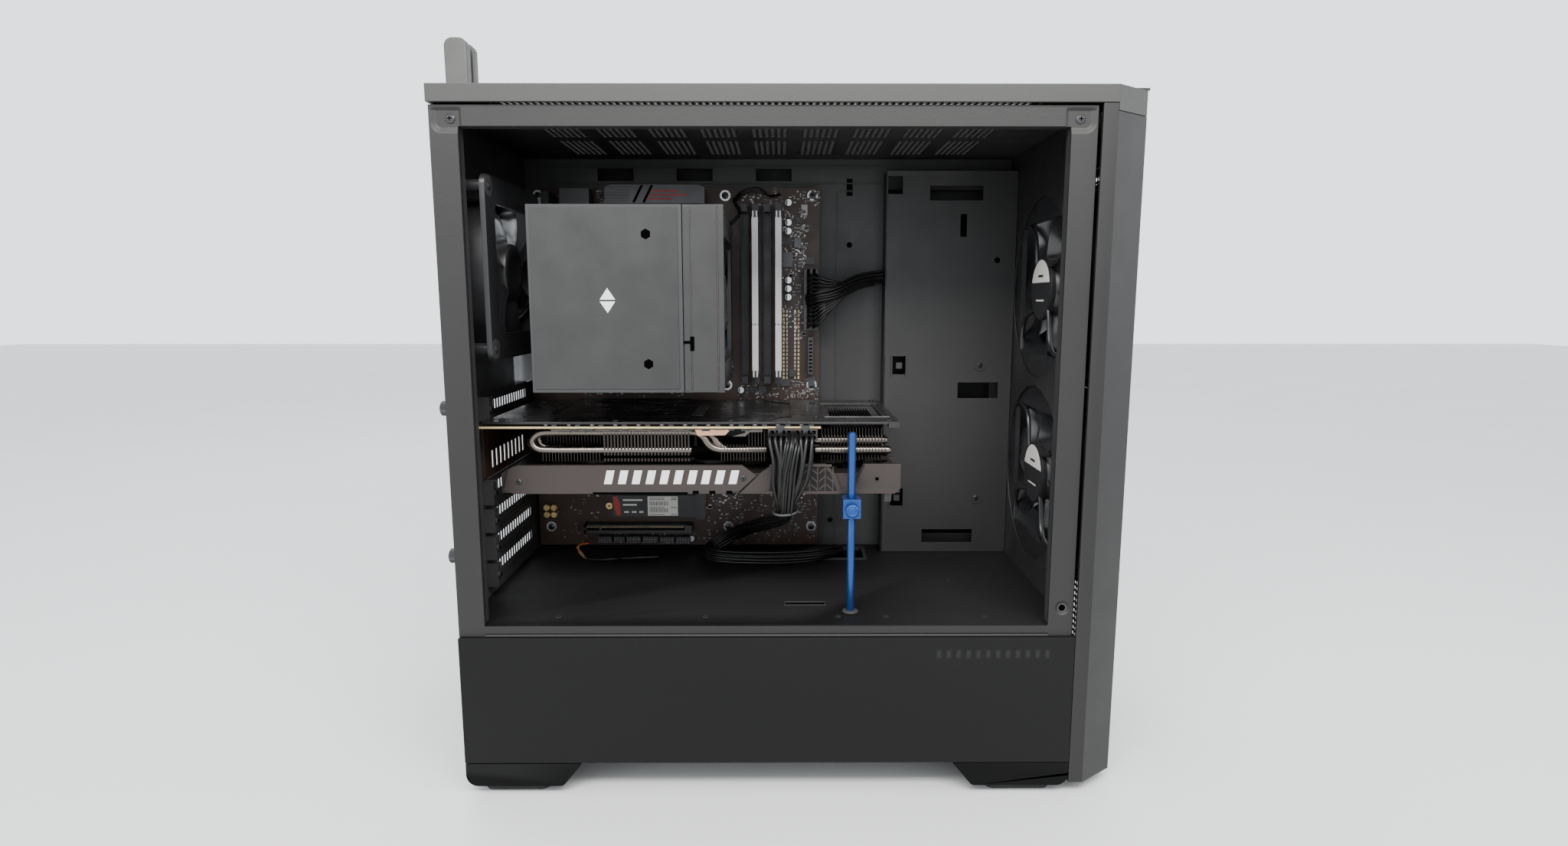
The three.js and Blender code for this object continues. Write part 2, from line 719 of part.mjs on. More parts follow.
function dimmSlot(x) {
  const half = dimmSlotLength / 2;
  const body = block(x - dimmWidth / 2, x + dimmWidth / 2, boardY - 7, boardY + 0.5,
    dimmZ - half, dimmZ + half);
  const ends = [dimmZ - half, dimmZ + half - 6].map((z) => (
    block(x - 2.6, x + 2.6, boardY - 19, boardY - 6, z, z + 6)));
  const groove = block(x - moduleThickness / 2 - fit, x + moduleThickness / 2 + fit, boardY - 20, boardY - 3,
    dimmZ - moduleLength / 2 - fit, dimmZ + moduleLength / 2 + fit);
  return cut(join(body, ends), groove);
}

function expansionSlot(z) {
  const cardSlotX1 = cardSlotX0 + cardSlotLength;
  const body = block(cardSlotX0, cardSlotX1, boardY - cardSlotHeight, boardY + 0.5, z - 3.7, z + 3.7);
  const groove = block(cardSlotX0 + 2, cardSlotX1 - 2, boardY - cardSlotHeight - 1,
    boardY - cardSlotHeight + fingerDepth + fit, z - 0.8 - fit, z + 0.8 + fit);
  return cut(body, groove);
}

function motherboard() {
  const boardTop = boardBottom + boardHeight;
  const board = block(boardX, boardX + boardLength, boardY, boardY + boardThickness, boardBottom, boardTop);
  const standoffs = holeColumns.flatMap((column) => holeRows.map((row) => (
    rod('y', boardBottom + row, boardX + column, standoffRadius, boardY - 1.2, trayY - gap, 6))));
  const half = socketSize / 2;
  const socket = block(coolerMidX - half, coolerMidX + half, boardY - 6, boardY + 0.5,
    coolerMidZ - half, coolerMidZ + half);
  const { x0, x1, z0, z1 } = leadSocket;
  const plug = block(x0, x1, boardY - 13, boardY + 0.5, z0, z1);
  const usbHeader = block(237.5, 242, boardY - 9, boardY + 0.5, 272.5, 303.9);
  return join(board, standoffs, socket, plug, usbHeader,
    series(4, firstDimmX, dimmPitch).map(dimmSlot),
    [cardSlotZ, lowerSlotZ].map(expansionSlot));
}

function portBlock() {
  const rows = [
    [portsTop - 22, portsTop - 9, 20], [portsTop - 40, portsTop - 24, 30], [portsTop - 62, portsTop - 42, 26],
    [portsTop - 84, portsTop - 64, 33], [portsTop - 118, portsTop - 99, 12],
    [portsTop - 156, portsTop - 120, 30],
  ];
  const back = boardY - gap;
  const spine = block(inner, 22, back - 12, back, portsBottom + 2, portsTop - 9);
  const banks = rows.map(([z0, z1, height]) => block(inner, 24, back - height, back, z0, z1));
  const mouths = rows.filter(([, , height]) => height > 15).map(([z0, z1, height]) => (
    block(0, 12, back - height + 1.5, back - 4, z0 + 2, z1 - 2)));
  const tongues = rows.filter(([, , height]) => height > 15).flatMap(([z0, z1, height]) => (
    series(2, back - height + 5, height / 3).map((y) => block(2, 14, y, y + 1.8, z0 + 4, z1 - 4))));
  const shield = cut(
    block(0, sheet, portsNearY + fit, portsFarY - fit, portsBottom + fit, portsTop - fit),
    mouths);
  const web = block(0, 4, back - 4, back, portsBottom + 2, portsTop - 9);
  const jacks = antennaY.map((y) => rod('x', y, antennaZ, 3.2, -9, 2, 12));
  const jackSeat = block(0, 24, antennaY[0] - 5, back, antennaZ - 6, antennaZ + 6);
  return join(cut(join(spine, banks), mouths), tongues, shield, web, jackSeat, jacks);
}

// A memory module as a flat card with clipped near corners.
function memoryCard(x) {
  const half = moduleLength / 2;
  const back = boardY - 3 - fit;
  const near = back - moduleHeight;
  const outline = polygon([
    [back, dimmZ - half], [back, dimmZ + half], [near + 4, dimmZ + half], [near, dimmZ + half - 6],
    [near, dimmZ - half + 6], [near + 4, dimmZ - half],
  ]);
  return prism('x', outline, x - moduleThickness / 2, x + moduleThickness / 2);
}

const driveX0 = 64;
const driveLength = 80;
const driveWidth = 22;
const driveZ = 158;

function drive() {
  const half = driveWidth / 2;
  const card = block(driveX0, driveX0 + driveLength, boardY - 4.2, boardY - 3.4,
    driveZ - half, driveZ + half);
  const chips = [[6, 22], [28, 46], [52, 72]].map(([a, b]) => (
    block(driveX0 + a, driveX0 + b, boardY - 5.6, boardY - 4, driveZ - half + 3, driveZ + half - 3)));
  const seat = block(driveX0 + driveLength - 3, driveX0 + driveLength + 5, boardY - 5.6, boardY - gap,
    driveZ - half - 1, driveZ + half + 1);
  const post = rod('y', driveZ, driveX0 + 2, 2.4, boardY - 3.8, boardY - gap, 12);
  return join(card, chips, seat, post);
}

function regulatorHeatsink() {
  const x0 = 74;
  const x1 = 154;
  const body = block(x0, x1, 152, boardY - gap, 411, 426);
  const grooves = series(6, x0 + 8, 12).map((x) => block(x, x + 4, 150, 160, 410, 427));
  return cut(body, grooves);
}

// ---------------------------------------------------------------- cooler

const pipeRadius = 3;
const pipeZ = series(4, coolerMidZ - 27, 18);

function coolerStack() {
  const stackEnd = finTopY + finCount * finPitch;
  const core = block(coolerX, coolerEnd, finTopY, stackEnd, coolerBottom, coolerBottom + coolerHeight);
  const gaps = series(finCount - 1, finTopY + finThickness, finPitch).flatMap((y) => (
    [[coolerX - 1, coolerX + finDepth], [coolerEnd - finDepth, coolerEnd + 1]].map(([x0, x1]) => (
      block(x0, x1, y, y + finPitch - finThickness, coolerBottom - 1, coolerBottom + coolerHeight + 1)))));
  const baseY = boardY - 6 - fit;
  const pipes = pipeZ.flatMap((z) => [coolerX + 28, coolerEnd - 28].map((x) => (
    rod('y', z, x, pipeRadius, stackEnd - 1, baseY - 4, 8))));
  const base = block(coolerMidX - 34, coolerMidX + 34, baseY - 14, baseY, coolerMidZ - 30, coolerMidZ + 30);
  return join(cut(core, gaps), pipes, base);
}

const fanCoverStart = coolerEnd + 0.6;
const fanCoverEnd = coolerFanX + coolerFanDepth + 2;

function coolerCover() {
  const z0 = coolerBottom;
  const z1 = coolerBottom + coolerHeight;
  const plate = block(coolerX - 1, fanCoverEnd, coolerNearY, finTopY - gap, z0, z1);
  const seam = block(coolerEnd - 2, fanCoverStart - 0.6, coolerNearY - 1, coolerNearY + 1.5, z0 - 1, z1 + 1);
  const keys = [376, 293].map((z) => rod('y', z, 128.5, 3.3, coolerNearY - 1, coolerNearY + 2.5, 6));
  const clip = block(coolerEnd + 1, coolerEnd + 6, coolerNearY - 1, coolerNearY + 1.5, 301, 311);
  return cut(plate, seam, keys, clip);
}

// ---------------------------------------------------------------- graphics card

const boardTopZ = cardBoardZ + 1.6;
const cardFinBottom = cardShroudTop + gap;

function cardBoard() {
  const board = block(5, cardBoardEnd, cardNearY, cardFarY, cardBoardZ, boardTopZ);
  const fingers = block(cardSlotX0 + 2.5, cardSlotX0 + cardSlotLength - 2.5, cardFarY - 1,
    boardY - cardSlotHeight + fingerDepth, cardBoardZ, boardTopZ);
  const z0 = slotZ[cardSlots[1]] - slotPitch / 2;
  const z1 = slotZ[cardSlots[0]] + slotPitch / 2;
  const bracket = block(bracketX, bracketX + sheet, slotNearY - 8, slotFarY + 6, z0, z1 + 1.5);
  const tab = block(bracketX, 7, 60, 160, cardBoardZ - 1, cardBoardZ + 1);
  const vents = series(9, slotNearY + 8, 9).map((y) => (
    block(bracketX - 1, bracketX + 1.6, y, y + 4, z0 + 5, z0 + 18)));
  const sockets = block(206, 240, cardNearY - 3, cardNearY + 12, cardBoardZ - 8, cardBoardZ + 0.5);
  return cut(join(board, fingers, bracket, tab, sockets), vents);
}

function cardBackplate() {
  const z0 = boardTopZ + 1.2;
  const plate = block(9, cardEnd - 1, cardNearY + 1, cardFarY - 1.5, z0, z0 + 1.8);
  const window = block(250, 288, cardNearY + 22, cardFarY - 30, z0 - 1, z0 + 3);
  return cut(plate, window);
}

function cardHeatsink() {
  const y0 = cardNearY + 8;
  const y1 = cardFarY - 8;
  const top = cardBoardZ - 1.3;
  const pitch = (cardFinEnd - cardFinStart) / cardFinCount;
  const core = block(cardFinStart, cardFinEnd, y0, y1, cardFinBottom, top);
  const gaps = series(cardFinCount - 1, cardFinStart + cardFinThickness, pitch).map((x) => (
    block(x, x + pitch - cardFinThickness, y0 - 1, y0 + cardFinDepth, cardFinBottom - 1, top - 1.5)));
  const socketRoom = block(204, 242, cardNearY, cardNearY + 14, cardBoardZ - 9, cardBoardZ);
  const pipes = [y0 + 26, y0 + 52, y0 + 80].map((y) => (
    rod('x', y, cardFinBottom + 10, 3, cardFinStart - 4, cardFinEnd + 3, 10)));
  return join(cut(core, gaps, socketRoom), pipes);
}

// The shroud has one round duct for each fan, a stepped near side with pointed ends, and open fin sides.
function cardShroud() {
  const y1 = cardFarY - 6;
  const x0 = 20;
  const body = block(x0, cardEnd, cardNearY + 3, y1, cardBottom, cardBottom + 14);
  const ductRadius = cardFanRadius + cardFanClearance;
  const ducts = cardFanX.map((x) => (
    rod('z', x, (cardNearY + cardFarY) / 2, ductRadius, cardBottom - 1, cardBottom + 15, 24)));
  const side = [
    [[x0 + 2, cardBottom + 2], [x0 + 6, cardShroudTop - 4], [x0 + 12, cardShroudTop - 1],
      [188, cardShroudTop - 1], [198, cardShroudTop - 8], [186, cardBottom + 2], [176, cardBottom],
      [x0 + 10, cardBottom]],
    [[186, cardBottom], [201, cardShroudTop - 6], [210, cardShroudTop], [246, cardShroudTop],
      [252, cardShroudTop - 6], [258, cardBottom]],
    [[252, cardBottom], [268, cardShroudTop - 12], [272, cardShroudTop], [cardEnd, cardShroudTop],
      [cardEnd, cardBottom + 4], [cardEnd - 4, cardBottom]],
  ].map((points) => {
    const outline = polygon(points.map(([x, z]) => [z, x]).reverse());
    return prism('y', outline, cardNearY, cardNearY + 4);
  });
  const struts = cardFanX.map((x) => {
    const mid = (cardNearY + cardFarY) / 2;
    const bar = block(x - 47, x + 47, mid - 2.5, mid + 2.5, cardBottom + 11.5, cardBottom + 14);
    const seat = rod('z', x, mid, 15, cardBottom + 11.5, cardBottom + 14);
    return join(bar, seat);
  });
  return join(cut(body, ducts), side, struts);
}

function cardFans() {
  cardFanX.forEach((x, index) => {
    const place = new THREE.Group();
    place.position.set(x, (cardNearY + cardFarY) / 2, cardBottom + 0.5);
    place.rotation.y = -Math.PI / 2;
    tower.add(place);
    piece(`gpu_fan_${index + 1}`, rotor(cardFanRadius, 14, 0, 10, 9, 55), 'fan', place);
  });
}

// ---------------------------------------------------------------- brace

const collarHeight = 13.2;
const collarTop = cardBottom - gap;
const collarBottom = collarTop - collarHeight;
const knobZ = collarTop - 7;
const knobRadius = 4.7;
const collarNear = poleY - 6;

function bracePole() {
  const base = rod('z', poleX, poleY + 2, 9, shroudTopZ + gap, shroudTopZ + 3, 28);
  const foot = rod('z', poleX, poleY, 4, shroudTopZ + 1, shroudTopZ + 7, 20);
  return join(base, foot, rod('z', poleX, poleY, poleRadius, shroudTopZ + 1, poleTop, 20));
}

function braceClamp() {
  const body = block(poleX - 6, poleX + 6, collarNear, poleY + 6, collarBottom, collarTop);
  const arm = block(poleX - 5, poleX + 5, poleY + 5, poleY + 36, collarTop - 3, collarTop);
  const bore = rod('z', poleX, poleY, poleRadius + fit, collarBottom - 1, collarTop + 1, 20);
  const screwWay = rod('y', knobZ, poleX, 1.8, collarNear - 1, poleY, 12);
  return cut(join(body, arm), bore, screwWay);
}

function braceKnob() {
  const face = collarNear - gap;
  const head = rod('y', knobZ, poleX, knobRadius, face - 5, face, 24);
  const screw = rod('y', knobZ, poleX, 1.5, face - 1, poleY - poleRadius - 0.4, 10);
  return join(head, screw);
}

// ---------------------------------------------------------------- antennas

const couplingEnd = -24;
const bladeX = -antennaReach;
const knuckle = 6;

// The part that screws on to the jack and swivels about it, ending in a fork.
function antennaBase(y) {
  const nut = rod('x', y, antennaZ, 5, couplingEnd, -1.4, 6);
  const bore = rod('x', y, antennaZ, 3.2 + fit, -9 - gap, 0, 12);
  const neck = rod('x', y, antennaZ, 4, bladeX + knuckle + 1, couplingEnd + 1, 12);
  const cheeks = [-1, 1].map((side) => {
    const [y0, y1] = [y + side * 3.1, y + side * 4.7].sort((a, b) => a - b);
    const disc = rod('y', antennaZ, bladeX, knuckle - 0.6, y0, y1, 12);
    const arm = block(bladeX, bladeX + knuckle + 3, y0, y1, antennaZ - 3, antennaZ + 3);
    return join(disc, arm);
  });
  const bridge = block(bladeX + knuckle + 0.8, bladeX + knuckle + 3, y - 4.7, y + 4.7,
    antennaZ - 3, antennaZ + 3);
  return join(cut(nut, bore), neck, cheeks, bridge);
}

// The flat blade, which folds about the y axis between the fork's cheeks.
function antennaBlade(y) {
  const half = bladeWidth / 2;
  const outline = new THREE.Shape();
  const start = antennaZ + knuckle + 2;
  const corner = 6.5;
  outline.moveTo(start, -5);
  outline.lineTo(start, 5);
  outline.lineTo(start + 14, half - 1);
  outline.absarc(bladeTop - corner, half - corner, corner, Math.PI / 2, 0, true);
  outline.absarc(bladeTop - corner, -half + corner, corner, 0, -Math.PI / 2, true);
  outline.lineTo(start + 14, -half + 1);
  const flat = prism('y', outline, y - bladeThickness / 2, y + bladeThickness / 2);
  const tongue = join(
    rod('y', antennaZ, 0, knuckle - 0.8, y - 2.8, y + 2.8, 12),
    block(-4, 4, y - 2.8, y + 2.8, antennaZ, start + 1));
  return join(flat, tongue);
}

// ---------------------------------------------------------------- leads

// A bundle of leads, as one round tube along a hand-laid route.
function lead(points, radius, steps) {
  const route = new THREE.CatmullRomCurve3(points.map(([x, y, z]) => new THREE.Vector3(x, y, z)));
  const section = new THREE.Shape();
  section.absarc(0, 0, radius, 0, 2 * Math.PI);
  const geometry = new THREE.ExtrudeGeometry(section, { steps, curveSegments: 4, extrudePath: route });
  return solid(geometry);
}

const supplyEnd = supplyX + supplyLength;
const leadSpaceY = (trayY + sheet + sidePanelY) / 2;

const boardLeadRoute = [
  [240, boardY - 13 - gap, 335], [240, boardY - 18, 335], [246, boardY - 24, 337], [260, 156, 341],
  [276, 166, 349], [290, 172, 353], [303, 176, 354], [316, 184, 353],
  [330, leadSpaceY, 338], [338, leadSpaceY, 306],
  [338, leadSpaceY, 240], [337, leadSpaceY, 170], [330, leadSpaceY, 130], [322, leadSpaceY, 112],
  [302, 186, 98], [256, 168, 94], [216, 142, 87], [supplyEnd + 34, 130, 82], [supplyEnd + 16, 130, 80],
  [supplyEnd + gap, 130, 80],
];

const cardLeadRoute = [
  [223, cardNearY - 3 - gap, 240], [223, 27, 240], [222, 21, 234], [220, 20, 220], [219, 22, 204],
  [218, 28, 190], [214, 42, 182], [208, 64, 174], [199, 100, 162], [188, 132, 150], [174, 148, 139],
  [160, 149, 130], [155, 139, 126.5], [170, 130, 126], [204, 128, 126], [236, 133, 126], [256, 144, 126],
  [263, 157, 122], [264, 158, 108], [262, 144, 86], [244, 118, 66], [212, 98, 58], [supplyEnd + 30, 90, 56],
  [supplyEnd + 15, 90, 56], [supplyEnd + gap, 90, 56],
];

// ---------------------------------------------------------------- assembly

piece('rear_panel', rearPanel(), 'steel');
piece('top_panel', topPanel(), 'steel');
piece('front_frame', frontFrame(), 'steel');
piece('motherboard_tray', tray(), 'steel');
piece('bottom_pan', bottomPan(), 'steel');
piece('shroud_top', shroudTop(), 'steel');
piece('shroud_side_cover', shroudSideCover(), 'steel');
piece('cable_cover_plate', cableCoverPlate(), 'steel');
piece('top_cover', topCover(), 'plastic');
piece('top_dust_filter', topFilter(), 'plastic');
piece('front_panel', frontPanel(), 'plastic');
piece('front_mesh', frontMesh(), 'steel');
piece('io_panel', ioPanel(), 'gloss');
piece('power_button', button(powerY, powerRadius, 0.6), 'plastic');
piece('reset_button', button(resetY, resetRadius, 0.2), 'plastic');
piece('side_panel', sidePanel(), 'steel');
panelScrewZ.forEach((z, index) => {
  piece(`side_panel_screw_${index + 1}`, thumbscrew(panelScrewY, z, slotCoverX - gap), 'darkMetal');
});
piece('slot_cover', slotCover(), 'steel');
slotScrewZ.forEach((z, index) => {
  piece(`slot_cover_screw_${index + 1}`, thumbscrew(slotScrewY, z, slotCoverX - gap), 'darkMetal');
});
feet();

piece('psu', powerSupply(), 'steel');
const supplyFanPlace = new THREE.Group();
supplyFanPlace.position.set(supplyX + supplyLength / 2, supplyY + supplyWidth / 2, supplyBottom + 1);
supplyFanPlace.rotation.y = -Math.PI / 2;
tower.add(supplyFanPlace);
piece('psu_fan_rotor', rotor(supplyFanRadius, 20, 0, supplyFanDepth - 2, 7, 45), 'fan', supplyFanPlace);
piece('psu_switch', rocker(), 'gloss');

piece('motherboard', motherboard(), 'board');
piece('rear_io_block', portBlock(), 'metal');
piece('vrm_heatsink', regulatorHeatsink(), 'darkMetal');
piece('ram_module_a', memoryCard(moduleX[0]), 'module');
piece('ram_module_b', memoryCard(moduleX[1]), 'module');
piece('m2_ssd', drive(), 'board');

piece('cooler_heatsink', coolerStack(), 'darkMetal');
piece('cooler_top_cover', coolerCover(), 'plastic');
const coolerFanY = finTopY + coolerFanSize / 2 + 0.5;
framedFan('cooler_fan', coolerFanSize, coolerFanDepth, coolerFanX, coolerFanY, coolerMidZ, 7);
framedFan('rear_fan', rearFanSize, rearFanDepth, inner, rearFanY, rearFanZ, 7);
['front_fan_lower', 'front_fan_upper'].forEach((name, index) => {
  framedFan(name, frontFanSize - 1, frontFanDepth, chassisLength + gap, frontFanY, frontFanZ[index], 7);
});

piece('gpu_board', cardBoard(), 'board');
piece('gpu_backplate', cardBackplate(), 'darkMetal');
piece('gpu_heatsink', cardHeatsink(), 'metal');
piece('gpu_shroud', cardShroud(), 'bronze');
cardFans();

piece('brace_pole', bracePole(), 'blue');
piece('brace_clamp', braceClamp(), 'blue');
piece('brace_knob', braceKnob(), 'blue');

antennaY.forEach((y, index) => {
  piece(`antenna_base_${index + 1}`, antennaBase(y), 'antenna');
  piece(`antenna_blade_${index + 1}`, antennaBlade(y), 'antenna').position.x = bladeX;
});

piece('board_lead', lead(boardLeadRoute, 6, 44), 'cable');
piece('card_lead', lead(cardLeadRoute, 6, 56), 'cable');

// The origin is the middle of the tower's footprint, on the desk.
const bounds = new THREE.Box3().setFromObject(tower);
const middle = bounds.getCenter(new THREE.Vector3());
tower.position.set(-middle.x, -middle.y, -bounds.min.z);

export default tower;
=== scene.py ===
import math

import bmesh
import bpy
from mathutils import Matrix, Vector


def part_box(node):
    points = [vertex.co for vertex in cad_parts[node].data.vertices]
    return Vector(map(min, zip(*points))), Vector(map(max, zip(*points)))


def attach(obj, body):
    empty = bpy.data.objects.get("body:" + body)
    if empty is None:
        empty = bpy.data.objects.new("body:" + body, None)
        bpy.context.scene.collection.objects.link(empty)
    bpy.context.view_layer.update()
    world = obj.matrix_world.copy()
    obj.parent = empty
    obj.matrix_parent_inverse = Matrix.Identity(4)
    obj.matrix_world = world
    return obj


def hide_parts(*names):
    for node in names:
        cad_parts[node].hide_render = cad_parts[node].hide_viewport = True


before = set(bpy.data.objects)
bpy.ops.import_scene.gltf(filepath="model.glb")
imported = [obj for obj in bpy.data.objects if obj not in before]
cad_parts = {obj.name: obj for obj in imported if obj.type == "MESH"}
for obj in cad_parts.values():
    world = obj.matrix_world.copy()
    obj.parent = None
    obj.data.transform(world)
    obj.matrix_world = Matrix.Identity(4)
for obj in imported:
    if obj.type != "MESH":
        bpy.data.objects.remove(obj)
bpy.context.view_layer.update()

MM = 0.001
TOWER = "tower"


# ---------------------------------------------------------------- places
# Every size below is in millimetres. The case origin is where the rear panel's outer face, the near
# rails' outer face and the desk meet, and CAD nodes are measured from it by span().

ORIGIN = Vector((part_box("rear_panel")[0].x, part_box("rear_panel")[0].y, 0)) / MM


def span(node):
    """The lowest and highest corners of a CAD node, in millimetres from the case origin."""
    low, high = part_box(node)
    return low / MM - ORIGIN, high / MM - ORIGIN


# ---------------------------------------------------------------- mesh building

AXES = {"x": (1, 2, 0), "y": (2, 0, 1), "z": (0, 1, 2)}


def spot(axis, u, v, along):
    """A point from its two coordinates across an axis (in cyclic order) and the one along it."""
    point = [0.0, 0.0, 0.0]
    iu, iv, ia = AXES[axis]
    point[iu], point[iv], point[ia] = u, v, along
    return Vector(point)


class Form:
    """A mesh under construction, in millimetres from the case origin."""

    def __init__(self):
        self.verts = []
        self.faces = []
        self.mats = []

    def add(self, verts, faces, mat=0):
        base = len(self.verts)
        self.verts.extend(verts)
        for face in faces:
            self.faces.append([base + i for i in face])
            self.mats.append(mat)
        return self

    def box(self, x0, x1, y0, y1, z0, z1, mat=0):
        verts = [Vector((x, y, z)) for x in (x0, x1) for y in (y0, y1) for z in (z0, z1)]
        faces = [(0, 1, 3, 2), (4, 6, 7, 5), (0, 4, 5, 1), (2, 3, 7, 6), (0, 2, 6, 4), (1, 5, 7, 3)]
        return self.add(verts, faces, mat)

    def prism(self, axis, outline, start, end, mat=0):
        """A closed outline, counter-clockwise about the axis, pushed along it."""
        count = len(outline)
        verts = [spot(axis, u, v, along) for along in (start, end) for u, v in outline]
        faces = [list(reversed(range(count))), list(range(count, 2 * count))]
        for i in range(count):
            j = (i + 1) % count
            faces.append((i, j, count + j, count + i))
        return self.add(verts, faces, mat)

    def lathe(self, axis, centre, profile, sides=32, mat=0, closed=False):
        """Turns (along, radius) pairs about an axis. It is closed by fans on the axis, or on itself."""
        rings = []
        verts = []
        for along, radius in profile:
            count = sides if radius > 0 else 1
            rings.append(range(len(verts), len(verts) + count))
            verts += [spot(axis, *polar(centre, radius, 2 * math.pi * i / sides), along) for i in range(count)]
        faces = []
        for a, b in zip(rings, rings[1:] + rings[:1] if closed else rings[1:]):
            for i in range(sides):
                j = (i + 1) % sides
                if len(a) > 1 and len(b) > 1:
                    faces.append((a[i], a[j], b[j], b[i]))
                elif len(b) > 1:
                    faces.append((a[0], b[j], b[i]))
                elif len(a) > 1:
                    faces.append((a[i], a[j], b[0]))
        return self.add(verts, faces, mat)

    def rod(self, axis, u, v, radius, start, end, sides=24, mat=0, edge=0.0):
        """A cylinder with its ends softened by edge."""
        step = edge if end > start else -edge
        sleeve = [(start, radius), (end, radius)]
        if edge:
            sleeve = [(start, radius - edge), (start + step, radius), (end - step, radius),
                      (end, radius - edge)]
        return self.lathe(axis, (u, v), [(start, 0), *sleeve, (end, 0)], sides, mat)

    def ring(self, axis, u, v, inside, outside, start, end, sides=32, mat=0):
        profile = [(start, inside), (start, outside), (end, outside), (end, inside)]
        return self.lathe(axis, (u, v), profile, sides, mat, closed=True)

    def tube(self, points, radius, sides=8, mat=0, flat=1.0):
        """A tube along points, with a steady frame and round or flattened section."""
        path = [Vector(p) for p in points]
        count = len(path)
        tangents = []
        for i in range(count):
            a = path[max(i - 1, 0)]
            b = path[min(i + 1, count - 1)]
            tangents.append((b - a).normalized())
        side = tangents[0].orthogonal().normalized()
        verts = []
        for i, point in enumerate(path):
            side = (side - tangents[i] * side.dot(tangents[i])).normalized()
            other = tangents[i].cross(side)
            for k in range(sides):
                turn = 2 * math.pi * k / sides
                verts.append(point + side * (radius * math.cos(turn))
                             + other * (radius * flat * math.sin(turn)))
        faces = [list(reversed(range(sides))), list(range((count - 1) * sides, count * sides))]
        for i in range(count - 1):
            for k in range(sides):
                j = (k + 1) % sides
                faces.append((i * sides + k, i * sides + j, (i + 1) * sides + j, (i + 1) * sides + k))
        return self.add(verts, faces, mat)

    def collar(self, axis, outer, inner, start, end, mat=0, walled=True):
        """The solid between two outlines of as many points each. Unwalled, its outer side stays open."""
        count = len(outer)
        verts = [spot(axis, u, v, along) for along in (start, end) for u, v in outer + inner]
        faces = []
        for i in range(count):
            j = (i + 1) % count
            faces += [(i, count + i, count + j, j),
                      (2 * count + i, 2 * count + j, 3 * count + j, 3 * count + i),
                      (count + i, 3 * count + i, 3 * count + j, count + j)]
            if walled:
                faces.append((i, j, 2 * count + j, 2 * count + i))
        return self.add(verts, faces, mat)

    def make(self, name, mats, body=TOWER, stands_for=(), bevel=0.0, angle=35, segments=2):
        mesh = bpy.data.meshes.new(name)
        mesh.from_pydata([(v + ORIGIN) * MM for v in self.verts], [], self.faces)
        mesh.polygons.foreach_set("material_index", self.mats)
        for mat in mats if isinstance(mats, (list, tuple)) else [mats]:
            mesh.materials.append(mat)
        return place(name, mesh, body, stands_for, bevel, angle, segments)


def place(name, mesh, body, stands_for=(), bevel=0.0, angle=35, segments=2):
    """Puts a finished mesh in the scene: shading, softened edges, its body and the nodes it stands for."""
    tidy = bmesh.new()
    tidy.from_mesh(mesh)
    bmesh.ops.recalc_face_normals(tidy, faces=tidy.faces)
    tidy.to_mesh(mesh)
    tidy.free()
    mesh.shade_smooth()
    mesh.set_sharp_from_angle(angle=math.radians(angle))
    obj = bpy.data.objects.new(name, mesh)
    bpy.context.scene.collection.objects.link(obj)
    if bevel:
        modifier = obj.modifiers.new("edges", "BEVEL")
        modifier.width = bevel * MM
        modifier.segments = segments
        modifier.limit_method = "ANGLE"
        modifier.angle_limit = math.radians(angle)
        modifier.harden_normals = True
    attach(obj, body)
    if stands_for:
        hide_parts(*stands_for)
    return obj


def softened(node, material, body=TOWER, bevel=0.3):
    """A copy of a CAD node with its flat facets joined and its edges rounded, standing for the node."""
    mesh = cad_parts[node].data.copy()
    mesh.materials.clear()
    mesh.materials.append(material)
    tidy = bmesh.new()
    tidy.from_mesh(mesh)
    bmesh.ops.remove_doubles(tidy, verts=tidy.verts, dist=0.01 * MM)
    bmesh.ops.dissolve_limit(tidy, angle_limit=math.radians(1.5), verts=tidy.verts, edges=tidy.edges)
    tidy.to_mesh(mesh)
    tidy.free()
    mesh.polygons.foreach_set("material_index", [0] * len(mesh.polygons))
    mesh.name = node + "_finished"
    return place(mesh.name, mesh, body, (node,), bevel)


# ---------------------------------------------------------------- outlines and paths

def polar(centre, radius, turn):
    """A point round a centre, at a turn in radians."""
    return centre[0] + radius * math.cos(turn), centre[1] + radius * math.sin(turn)


def arc(cu, cv, radius, start, end, count=6):
    """Points on an arc, in degrees."""
    return [polar((cu, cv), radius, math.radians(start + (end - start) * i / count)) for i in range(count + 1)]


def hexagon(cu, cv, radius):
    return arc(cu, cv, radius, 0, 300, 5)


def round_rect(u0, u1, v0, v1, radius, count=5):
    """A rectangle with round corners, counter-clockwise from its lower right one."""
    corners = ((u1 - radius, v0 + radius), (u1 - radius, v1 - radius), (u0 + radius, v1 - radius),
               (u0 + radius, v0 + radius))
    outline = []
    for k, (u, v) in enumerate(corners):
        outline += arc(u, v, radius, 90 * k - 90, 90 * k, count)
    return outline


def cross(cu, cv, arm, half):
    """A cross with four equal arms, built from one corner by quarter turns."""
    corners = [(arm, half), (half, half), (half, arm)]
    for _ in range(3):
        corners += [(-v, u) for u, v in corners[-3:]]
    return [(cu + u, cv + v) for u, v in corners]


def knurl(centre, valley, peak, ridges):
    """The toothed outline of a knurled head."""
    return [polar(centre, peak if i % 2 else valley, math.pi * i / ridges) for i in range(2 * ridges)]


def series(count, first, step):
    return [first + i * step for i in range(count)]


